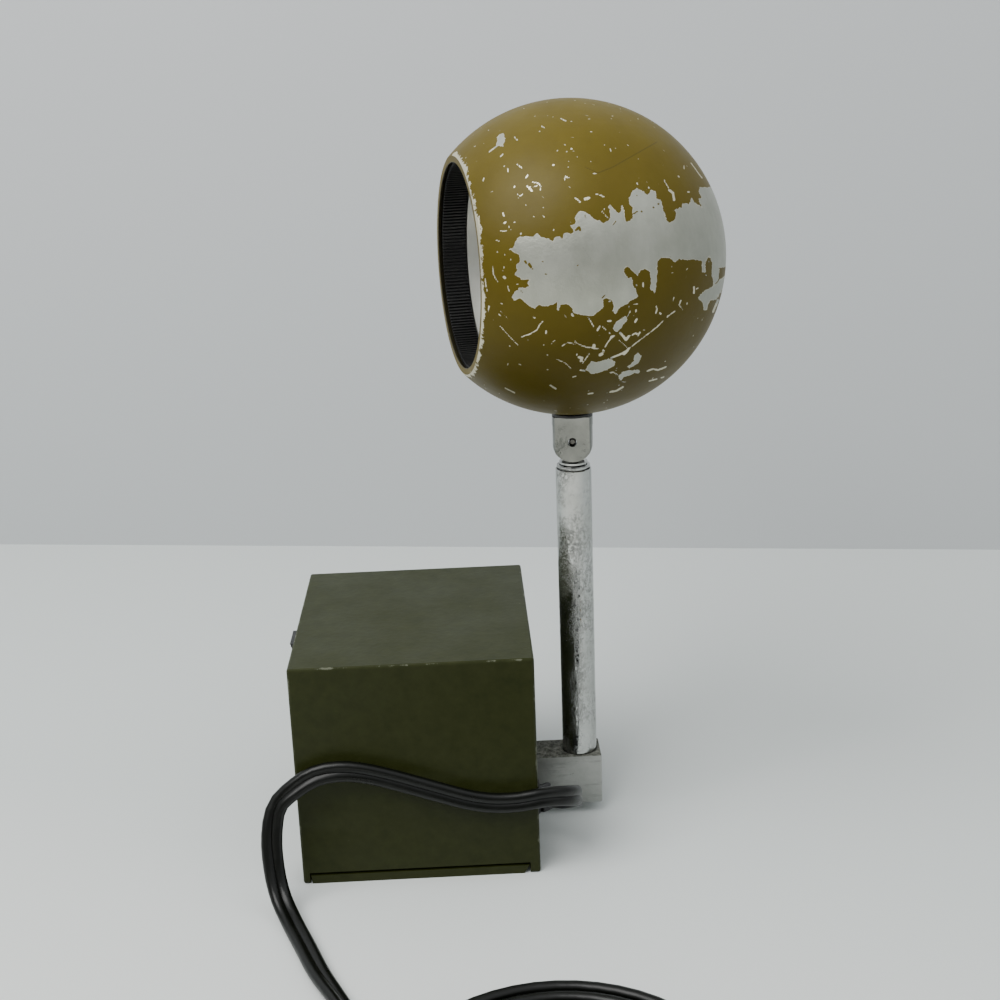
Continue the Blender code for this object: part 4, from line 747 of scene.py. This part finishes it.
# Paint left inside them, and chips and scratches outside: half a width in pixels, then its runs of pixels
PAINT_LEFT = {
    0.6: [(613, 225, 616, 221)],
    0.7: [(521, 291, 523, 293), (602, 298, 605, 295)],
    0.8: [
        (585, 215, 586, 218), (545, 274, 547, 274), (532, 269, 533, 269), (577, 266, 578, 265),
        (633, 214, 638, 211),
    ],
    0.9: [
        (542, 261, 543, 262), (637, 196, 637, 195), (658, 204, 659, 204), (653, 207, 654, 208),
        (641, 211, 642, 212),
    ],
    1.2: [(525, 261, 526, 263)],
    1.3: [(576, 230, 579, 227, 580, 230)],
    1.5: [(529, 264, 531, 267)],
}
CHIPS = {
    0.6: [
        (500, 311, 504, 314, 508, 319), (622, 382, 626, 382), (588, 391, 590, 391), (686, 270, 688, 268),
        (691, 163, 702, 178), (684, 165, 684, 169), (619, 132, 620, 132),
    ],
    0.7: [
        (530, 187, 537, 186), (508, 225, 511, 230), (510, 258, 512, 262), (500, 326, 509, 336, 518, 345),
        (534, 344, 534, 345), (551, 344, 555, 340), (590, 353, 582, 364),
        (556, 359, 563, 362, 568, 365, 571, 369), (661, 378, 664, 377), (618, 339, 629, 349),
        (631, 347, 640, 340, 648, 334, 657, 327, 663, 321), (674, 297, 673, 301),
        (681, 300, 679, 305, 683, 310), (633, 304, 638, 304), (629, 306, 630, 312, 627, 317),
        (672, 266, 672, 267), (664, 180, 669, 189), (541, 126, 545, 128), (479, 216, 479, 231),
        (512, 130, 513, 131), (615, 148, 616, 148), (604, 145, 605, 145), (590, 161, 591, 162),
        (612, 116, 613, 116), (496, 240, 499, 241),
    ],
    0.8: [
        (514, 188, 515, 186), (500, 231, 507, 231), (526, 205, 527, 206), (602, 212, 608, 218),
        (604, 208, 604, 210), (504, 267, 503, 271), (517, 284, 518, 284),
        (521, 337, 530, 334, 537, 330, 540, 324, 543, 321), (543, 345, 544, 345), (562, 346, 565, 344),
        (575, 341, 578, 344, 586, 347, 599, 349), (612, 337, 608, 342, 605, 347), (573, 377, 576, 376),
        (610, 373, 613, 372, 618, 375), (588, 394, 593, 393), (505, 388, 515, 393), (508, 364, 508, 365),
        (649, 381, 657, 379), (667, 317, 675, 311), (672, 273, 673, 273), (696, 289, 698, 288),
        (637, 183, 638, 185), (678, 176, 679, 177), (489, 152, 497, 146), (560, 118, 566, 121),
        (483, 181, 484, 178), (458, 165, 461, 162), (492, 265, 494, 276, 498, 282), (489, 306, 488, 312),
    ],
    0.9: [
        (532, 182, 538, 183, 541, 186, 540, 191), (517, 194, 520, 196, 523, 194), (505, 254, 505, 255),
        (508, 286, 509, 291), (547, 355, 548, 355), (567, 342, 574, 344), (588, 317, 594, 327),
        (602, 326, 606, 330), (687, 303, 687, 304), (648, 187, 649, 188), (500, 157, 503, 154),
        (517, 164, 522, 168), (508, 168, 508, 172), (526, 178, 528, 175), (565, 180, 565, 176, 569, 178),
        (610, 149, 611, 151), (485, 279, 487, 291),
    ],
    1.0: [
        (596, 194, 600, 195, 604, 197), (533, 317, 535, 318), (597, 331, 600, 326), (580, 370, 585, 371),
        (647, 371, 653, 369, 658, 370, 666, 367), (656, 306, 657, 309, 656, 313), (636, 310, 636, 312),
        (632, 335, 636, 333, 638, 336, 640, 332), (688, 192, 689, 192), (515, 137, 517, 140),
        (497, 252, 498, 252), (501, 303, 502, 304),
    ],
    1.1: [
        (503, 213, 504, 216), (504, 223, 506, 222), (514, 222, 515, 222), (575, 198, 578, 200, 580, 202),
        (609, 333, 610, 333), (603, 350, 604, 351), (577, 354, 577, 355),
        (611, 358, 621, 354, 628, 350, 629, 348), (610, 392, 616, 391, 623, 387), (550, 385, 556, 389),
        (660, 313, 661, 314), (643, 283, 643, 287), (694, 287, 694, 293), (718, 300, 713, 312),
        (571, 149, 572, 149), (553, 165, 554, 165),
    ],
    1.2: [
        (527, 186, 532, 191), (521, 233, 521, 234), (546, 331, 546, 333), (608, 321, 611, 321),
        (635, 322, 637, 319),
    ],
    1.3: [(572, 314, 573, 316), (611, 337, 614, 336), (669, 190, 673, 193, 674, 200)],
    1.4: [(504, 277, 505, 278), (620, 333, 624, 337, 626, 340, 629, 336)],
    1.5: [(579, 357, 582, 358, 581, 361)],
    1.6: [(585, 199, 589, 198), (594, 345, 594, 348), (624, 354, 627, 351)],
    1.7: [(600, 355, 602, 354)],
}
SCORES = {
    0.5: [(583, 247, 595, 266)],
    0.6: [(585, 167, 598, 173, 613, 167, 627, 159, 657, 142)],
}
PIXEL_ON_BALL = 0.262
BACK_REACH = 9.0
FAR_FROM_BARE = -30.0
RIM_BARE = 0.45
RIM_FADE = 0.2
NEAR_SHARE = 0.62
BALL_SIDES = 560
BALL_STEPS = 260
BALL_INSIDE_STEPS = 40
LIP = 0.12 * MM
HOLE_SIDES = 48
CUT_BELOW = 2 * MM
CUT_HIGH = 8 * MM
RIB_EDGE = 0.15 * MM
RIB_LEAN_SHARE = 0.25
DISH_SIDES = 160
DISH_STEPS = 36
BULB_SIDES = 96
BULB_STEPS = 40


def to_pixels(points):
    """Pixels of the photograph at which points show."""
    away = points - np.array(CAMERA_PLACE)
    depth = away @ np.array(FORWARD)
    half = PICTURE_PIXELS / 2
    return np.stack([
        half + FOCAL_PIXELS * (away @ np.array(RIGHT)) / depth,
        half - FOCAL_PIXELS * (away @ np.array(UP)) / depth,
    ], axis=1)


def run_distance(pixels, a, b):
    """How far pixels are from the straight run between two others."""
    run = b - a
    t = np.clip((pixels - a) @ run / (run @ run), 0, 1)
    return np.linalg.norm(pixels - a - t[:, None] * run, axis=1)


def inside_depth(pixels, outline):
    """How deep pixels lie inside an outline, less than zero outside it."""
    corners = np.array(outline, float).reshape(-1, 2)
    nearest = np.full(len(pixels), np.inf)
    inside = np.zeros(len(pixels), bool)
    for a, b in zip(corners, np.roll(corners, -1, axis=0)):
        nearest = np.minimum(nearest, run_distance(pixels, a, b))
        run = b - a
        crosses = (a[1] > pixels[:, 1]) != (b[1] > pixels[:, 1])
        level = a[0] + (pixels[:, 1] - a[1]) * run[0] / (run[1] if run[1] else 1e-9)
        inside ^= crosses & (pixels[:, 0] < level)
    return np.where(inside, nearest, -nearest)


def seen_pixels(points):
    """Where points of the ball show in the photograph; the far side mirrors the near one at its edge."""
    middle = np.array(BALL_MIDDLE)
    towards = np.array(CAMERA_PLACE) - middle
    towards /= np.linalg.norm(towards)
    radial = points - middle
    facing = radial @ towards
    mirrored = radial - np.where(facing < 0, 2 * facing, 0)[:, None] * towards
    return to_pixels(middle + mirrored), facing


def along_runs(pixels, runs_of_width):
    """Millimetres inside runs of given half widths, less than zero outside them."""
    depth = np.full(len(pixels), -np.inf)
    for half_width, runs in runs_of_width.items():
        for run in runs:
            corners = np.array(run, float).reshape(-1, 2)
            for a, b in zip(corners, corners[1:]):
                depth = np.maximum(depth, half_width - run_distance(pixels, a, b))
    return depth * PIXEL_ON_BALL


def worn_depth(pixels, facing):
    """Millimetres inside a bare patch, less than zero outside it."""
    depth = np.full(len(pixels), FAR_FROM_BARE)
    for outline in BARE_PATCHES:
        depth = np.maximum(depth, inside_depth(pixels, outline) * PIXEL_ON_BALL)
    return depth - np.maximum(-facing / MM - BACK_REACH, 0)


def rim_depth(points):
    """Millimetres inside the bare rim of the mouth."""
    radial = points - np.array(BALL_MIDDLE)
    out = radial @ np.array(MOUTH_WAY)
    nearer = radial @ np.array((-MOUTH_WAY.y, MOUTH_WAY.x, 0.0))
    return RIM_BARE - (MOUTH_OUT - out) / MM + np.minimum(nearer / MM, 0) * RIM_FADE


def ball_shade(looks):
    """The ball with its stem hole, and the worn paint's fields on its points."""
    inner = BALL_RADIUS - BALL_WALL
    outside = arc(BALL_RADIUS, math.asin(MOUTH_OUT / BALL_RADIUS), -math.pi / 2, BALL_STEPS)
    outside[0] = (outside[0][0] - LIP / 3, MOUTH_OUT - LIP)
    outside[-1] = (0, -BALL_RADIUS)
    inside = arc(inner, -math.pi / 2, math.asin(MOUTH_OUT / inner), BALL_INSIDE_STEPS)
    inside[0] = (0, -inner)
    rim_out = (outside[0][0] - LIP, MOUTH_OUT)
    rim_in = (inside[-1][0] + LIP, MOUTH_OUT)
    profile = [rim_out] + outside + inside[:-1] + [(inside[-1][0], MOUTH_OUT - LIP), rim_in]
    viewer = MOUTH_FRAME.inverted() @ CAMERA_PLACE
    bm = turned(profile, BALL_SIDES, MOUTH_FRAME, (NEAR_SHARE, math.atan2(viewer.y, viewer.x)))
    ball = finished("ball", bm, looks["ochre"], "head", ["ball_shade"])
    low = Matrix.Translation(BALL_MIDDLE - Vector((0, 0, BALL_RADIUS + CUT_BELOW)))
    rod = turned([(0, 0), (STEM_HOLE, 0), (STEM_HOLE, CUT_HIGH), (0, CUT_HIGH)], HOLE_SIDES, low)
    bmesh.ops.recalc_face_normals(rod, faces=rod.faces)
    cutter = linked("stem_cutter", mesh_of("stem_cutter", rod))
    step = ball.modifiers.new("stem hole", "BOOLEAN")
    step.operation = "DIFFERENCE"
    step.object = cutter
    step.solver = "EXACT"
    bpy.context.view_layer.update()
    whole = bpy.data.meshes.new_from_object(ball.evaluated_get(bpy.context.evaluated_depsgraph_get()))
    ball.modifiers.clear()
    ball.data = whole
    bpy.data.objects.remove(cutter)
    whole.materials.clear()
    whole.materials.append(looks["ochre"])
    whole.materials.append(looks["ochre inside"])
    count = len(whole.vertices)
    flat = np.zeros(count * 3)
    whole.vertices.foreach_get("co", flat)
    points = flat.reshape(-1, 3)
    distance = np.linalg.norm(points - np.array(BALL_MIDDLE), axis=1)
    outer = distance > BALL_RADIUS - BALL_WALL / 2
    pixels, facing = seen_pixels(points[outer])
    fields = {
        "worn": worn_depth(pixels, facing),
        "chipped": along_runs(pixels, CHIPS),
        "kept": along_runs(pixels, PAINT_LEFT),
        "scored": along_runs(pixels, SCORES),
        "rim": rim_depth(points[outer]),
    }
    for name, depth in fields.items():
        values = np.full(count, FAR_FROM_BARE, np.float32)
        values[outer] = np.maximum(depth, FAR_FROM_BARE)
        whole.attributes.new(name, "FLOAT", "POINT").data.foreach_set("value", values)
    for face in whole.polygons:
        face.material_index = 0 if outer[list(face.vertices)].any() else 1


def rib_ring(looks):
    """The black ring inside the mouth, ribbed all round its bore."""
    high = MOUTH_OUT - RING_BACK_OFF
    low = high - RING_DEEP
    inner_ball = BALL_RADIUS - BALL_WALL
    outer = math.sqrt(inner_ball ** 2 - high ** 2) - SEAT_GAP
    valley = outer - RING_WALL + RIB_DEEP
    crest = outer - RING_WALL
    bm = bmesh.new()
    corners = []
    per_rib = (crest, crest, valley, valley)
    count = RIBS * len(per_rib)
    for i in range(count):
        angle = 2 * math.pi * (i + (RIB_LEAN_SHARE if i % 2 else 0.0)) / count
        bore = per_rib[i % len(per_rib)]
        column = [
            (outer, low), (outer, high - RIB_EDGE), (outer - RIB_EDGE, high), (bore + RIB_EDGE, high),
            (bore, high - RIB_EDGE), (bore, low + RIB_EDGE), (bore + RIB_EDGE, low),
        ]
        places = [Vector((r * math.cos(angle), r * math.sin(angle), z)) for r, z in column]
        corners.append([bm.verts.new(MOUTH_FRAME @ place) for place in places])
    for here, there in zip(corners, corners[1:] + corners[:1]):
        for i in range(len(here)):
            j = (i + 1) % len(here)
            bm.faces.new((here[i], here[j], there[j], there[i]))
    finished("rib_ring", bm, looks["baffle"], "head", ["baffle_ring"], RIB_SHARP)


def dish(looks):
    """The reflector behind the ring, with the bulb's hole in its middle."""
    rim = MOUTH_OUT - RING_BACK_OFF - RING_DEEP - SEAT_GAP
    inner_ball = BALL_RADIUS - BALL_WALL
    wide = math.sqrt(inner_ball ** 2 - (MOUTH_OUT - RING_BACK_OFF) ** 2) - SEAT_GAP
    hollow = wide - RING_WALL - REFLECTOR_HOLE
    turns = [math.pi / 2 * i / DISH_STEPS for i in range(DISH_STEPS + 1)]
    inside = [(REFLECTOR_HOLE + hollow * math.cos(a), rim - REFLECTOR_DEEP * math.sin(a)) for a in turns]
    outside = [(radius + REFLECTOR_WALL, height - REFLECTOR_WALL) for radius, height in reversed(inside)]
    outside[-1] = (wide, rim - REFLECTOR_WALL)
    bm = turned([(wide, rim)] + inside + outside, DISH_SIDES, MOUTH_FRAME)
    finished("dish", bm, looks["dish"], "head", ["reflector"])


def bulb(looks):
    tip = MOUTH_OUT - BULB_TIP_BACK
    middle = tip - BULB_RADIUS
    neck_angle = -math.acos(BULB_NECK_RADIUS / BULB_RADIUS)
    end = tip - BULB_LENGTH
    crown = arc(BULB_RADIUS, math.pi / 2, neck_angle, BULB_STEPS)[1:]
    profile = [(0, tip)] + [(radius, middle + height) for radius, height in crown]
    profile += [(BULB_NECK_RADIUS, end), (0, end)]
    bm = turned(profile, BULB_SIDES, MOUTH_FRAME)
    finished("bulb", bm, looks["bulb"], "head", ["bulb_glass"])


# Arm

TUBE_SIDES = 128
TUBE_EDGE = 0.12 * MM
COLLAR_IN = 0.3 * MM
COLLAR_THICK = 0.8 * MM
COLLAR_CUT_SHARE = 0.6


def round_tube(node, body, outer, look, collar=None):
    """A fine tube in place of a node, with rolled rims and, where it has one, its collar."""
    low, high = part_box(node)
    soft = TUBE_EDGE
    inner = outer - TUBE_WALL
    profile = [(inner, high.z - soft), (inner + soft, high.z)]
    if collar:
        radius, thick = collar
        under = high.z - thick
        cut = soft * COLLAR_CUT_SHARE
        profile += [
            (radius - 2 * soft, high.z), (radius - cut, high.z - cut), (radius, high.z - 2 * soft),
            (radius, under + 2 * soft), (radius - cut, under + cut), (radius - 2 * soft, under),
            (outer, under),
        ]
    else:
        profile += [(outer - soft, high.z), (outer, high.z - soft)]
    profile += [(outer, low.z + soft), (outer - soft, low.z), (inner + soft, low.z), (inner, low.z + soft)]
    bm = turned(profile, TUBE_SIDES, Matrix.Translation((ARM_X, 0, 0)))
    finished(node + "_fine", bm, look, body, [node])


def arm(looks):
    plate = looks["chrome"]
    round_tube("outer_tube", "arm", OUTER_RADIUS, plate)
    round_tube("mid_tube", "mid", MID_RADIUS, plate, (OUTER_RADIUS - COLLAR_IN, COLLAR_THICK))
    round_tube("inner_tube", "inner", INNER_RADIUS, plate)
    refined("swivel_stud", plate, "swivel", edge=0.12 * MM)
    refined("fork", looks["fork chrome"], "head", edge=0.22 * MM, segments=3)
    refined("swing_block", looks["zinc"], "arm", edge=0.2 * MM)


def looks_of_parts():
    return {
        "green": green_paint(),
        "plate green": green_paint("plate_paint", edges=False),
        "ochre": ochre_paint(),
        "ochre inside": inner_paint(),
        "chrome": chrome(),
        "fork chrome": chrome("fork_plate", (0.24, 0.245, 0.225), (0.15, 0.155, 0.14)),
        "zinc": cast_zinc(),
        "vinyl": cord_vinyl(),
        "plug": black_plastic("plug_vinyl", 0.30, 0.44),
        "plastic": black_plastic(),
        "baffle": black_plastic("baffle_black", 0.30, 0.42),
        "brass": metal("brass", (0.34, 0.23, 0.08), (0.56, 0.41, 0.17), 0.25, 0.42),
        "steel": metal("bright_steel", (0.48, 0.48, 0.46), (0.66, 0.66, 0.64), 0.25, 0.42),
        "pin": metal("pin_steel", (0.10, 0.10, 0.09), (0.22, 0.21, 0.19), 0.35, 0.55),
        "iron": laminations(),
        "winding": winding(),
        "dish": reflector_finish(),
        "bulb": bulb_finish(),
    }


NODES_OF_LOOK = {
    "green": ["base_shell"],
    "plate green": ["bottom_plate"],
    "iron": ["transformer_core"],
    "winding": ["transformer_winding"],
    "plastic": ["switch_body", "switch_rocker", "shade_gasket", "socket_disc"],
    "plug": ["cord_bushing"],
    "brass": ["plug_blade_1", "plug_blade_2", "pivot_nut", "bulb_cap", "stem_nut"],
    "pin": ["fork_pin"],
    "steel": [
        "plate_screw_1", "plate_screw_2", "plate_screw_3", "transformer_strap", "pivot_washer",
        "socket_shell", "socket_strap",
    ],
}


def dress_nodes(looks):
    for look, nodes in NODES_OF_LOOK.items():
        for node in nodes:
            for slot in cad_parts[node].material_slots:
                slot.material = looks[look]


# Surroundings

def stage_look(name, seen_low, seen_high, lit, painted_light_slope, rough):
    """A pale surface, whose colour runs between two tones along a slope that paints the fall of light across
    it, and which throws less light back.
    """
    look = Look(name)
    # Painted light: the tone brightens along the slope, as the light falls across the surface
    rise = look.vectors("DOT_PRODUCT", look.place, painted_light_slope, "Value")
    cloud = look.times(look.minus(look.noise(0.25, 3, 0.5), 0.5), 0.25)
    share = look.remap(look.plus(rise, cloud), 0.0, 1.0)
    seen = look.mix(share, seen_low, seen_high)
    path = look.node("ShaderNodeLightPath")
    shown = look.larger(path.outputs["Is Camera Ray"], path.outputs["Is Glossy Ray"])
    shown = look.larger(shown, path.outputs["Is Transmission Ray"])
    return look.done(look.mix(shown, lit, seen), rough, 0.0, Specular_IOR_Level=0.25)


def stage_piece(name, corners, look):
    bm = bmesh.new()
    bm.faces.new([bm.verts.new(c) for c in corners])
    mesh = mesh_of(name, bm)
    mesh.materials.append(look)
    linked(name, mesh)


# The table ends on a line between two pixels, and the wall stands there
TABLE_END_PIXELS = ((125, 545), (875, 549))
STAGE_HALF_WIDE = 2.5
TABLE_DEEP = 2.0
WALL_HIGH = 2.0
# Two tones as seen, the tone for the light thrown back, the slope between the tones, which paints the light
# falling off across the table and up the wall, and the roughness
TABLE_LOOK = ((0.76, 0.80, 0.785), (1.0, 1.0, 0.955), (0.24, 0.25, 0.25), (-1.2, -3.2, 0.0), 0.5)
WALL_LOOK = ((0.775, 0.815, 0.82), (0.84, 0.86, 0.875), (0.36, 0.37, 0.37), (0.0, 0.0, 3.0), 0.7)


def surroundings():
    left, right = [on_table(pixel) for pixel in TABLE_END_PIXELS]
    along = (right - left).normalized()
    middle = (left + right) / 2
    near = Vector((-along.y, along.x, 0)) * -TABLE_DEEP
    rise = Vector((0, 0, WALL_HIGH))
    left = middle - along * STAGE_HALF_WIDE
    right = middle + along * STAGE_HALF_WIDE
    stage_piece("floor", [right, left, left + near, right + near], stage_look("table_top", *TABLE_LOOK))
    stage_piece("wall", [left, right, right + rise, left + rise], stage_look("wall", *WALL_LOOK))


# The room's light: a tint, a least strength, and an axis, where it starts and ends to rise, and how much
ROOM_TINT = (0.95, 0.98, 1.0, 1.0)
ROOM_LEAST = 0.035
ROOM_RISES = (("Z", 0.15, 0.80, 1.05), ("X", 0.25, 0.80, 0.50), ("X", -0.55, -0.95, 0.25))
LAMP_PLACE = Vector((-0.49, -0.49, 1.07))
LAMP_TARGET = Vector((0.0, 0.0, 0.10))
LAMP_SIZE = 0.85
LAMP_POWER = 14.0
LAMP_TINT = (1.0, 0.995, 0.98)


def add_lamp():
    data = bpy.data.lights.new("high_left", "AREA")
    data.shape = "RECTANGLE"
    data.size = LAMP_SIZE
    data.size_y = LAMP_SIZE
    data.energy = LAMP_POWER
    data.color = LAMP_TINT
    lamp = linked("high_left", data)
    turn = (LAMP_TARGET - LAMP_PLACE).to_track_quat("-Z", "Y").to_matrix().to_4x4()
    lamp.matrix_world = Matrix.Translation(LAMP_PLACE) @ turn


def lights():
    """A room bright above and at the sides and dim in front, with one broad light high on the left."""
    world = bpy.data.worlds.new("world")
    world.use_nodes = True
    tree = world.node_tree
    background = tree.nodes["Background"]
    background.inputs["Color"].default_value = ROOM_TINT
    place = tree.nodes.new("ShaderNodeTexCoord")
    split = tree.nodes.new("ShaderNodeSeparateXYZ")
    tree.links.new(place.outputs["Generated"], split.inputs[0])
    total = None
    for axis, start, end, strength in ROOM_RISES:
        ramp = tree.nodes.new("ShaderNodeMapRange")
        tree.links.new(split.outputs[axis], ramp.inputs["Value"])
        for key, value in zip(RAMP_ENDS, (start, end, 0.0, strength)):
            ramp.inputs[key].default_value = value
        add = tree.nodes.new("ShaderNodeMath")
        add.operation = "ADD"
        tree.links.new(ramp.outputs["Result"], add.inputs[0])
        add.inputs[1].default_value = ROOM_LEAST
        if total is not None:
            tree.links.new(total, add.inputs[1])
        total = add.outputs[0]
    tree.links.new(total, background.inputs["Strength"])
    bpy.context.scene.world = world
    add_lamp()


add_camera()
looks = looks_of_parts()
add_cord(looks)
surroundings()
lights()
ball_shade(looks)
rib_ring(looks)
dish(looks)
bulb(looks)
arm(looks)
dress_nodes(looks)
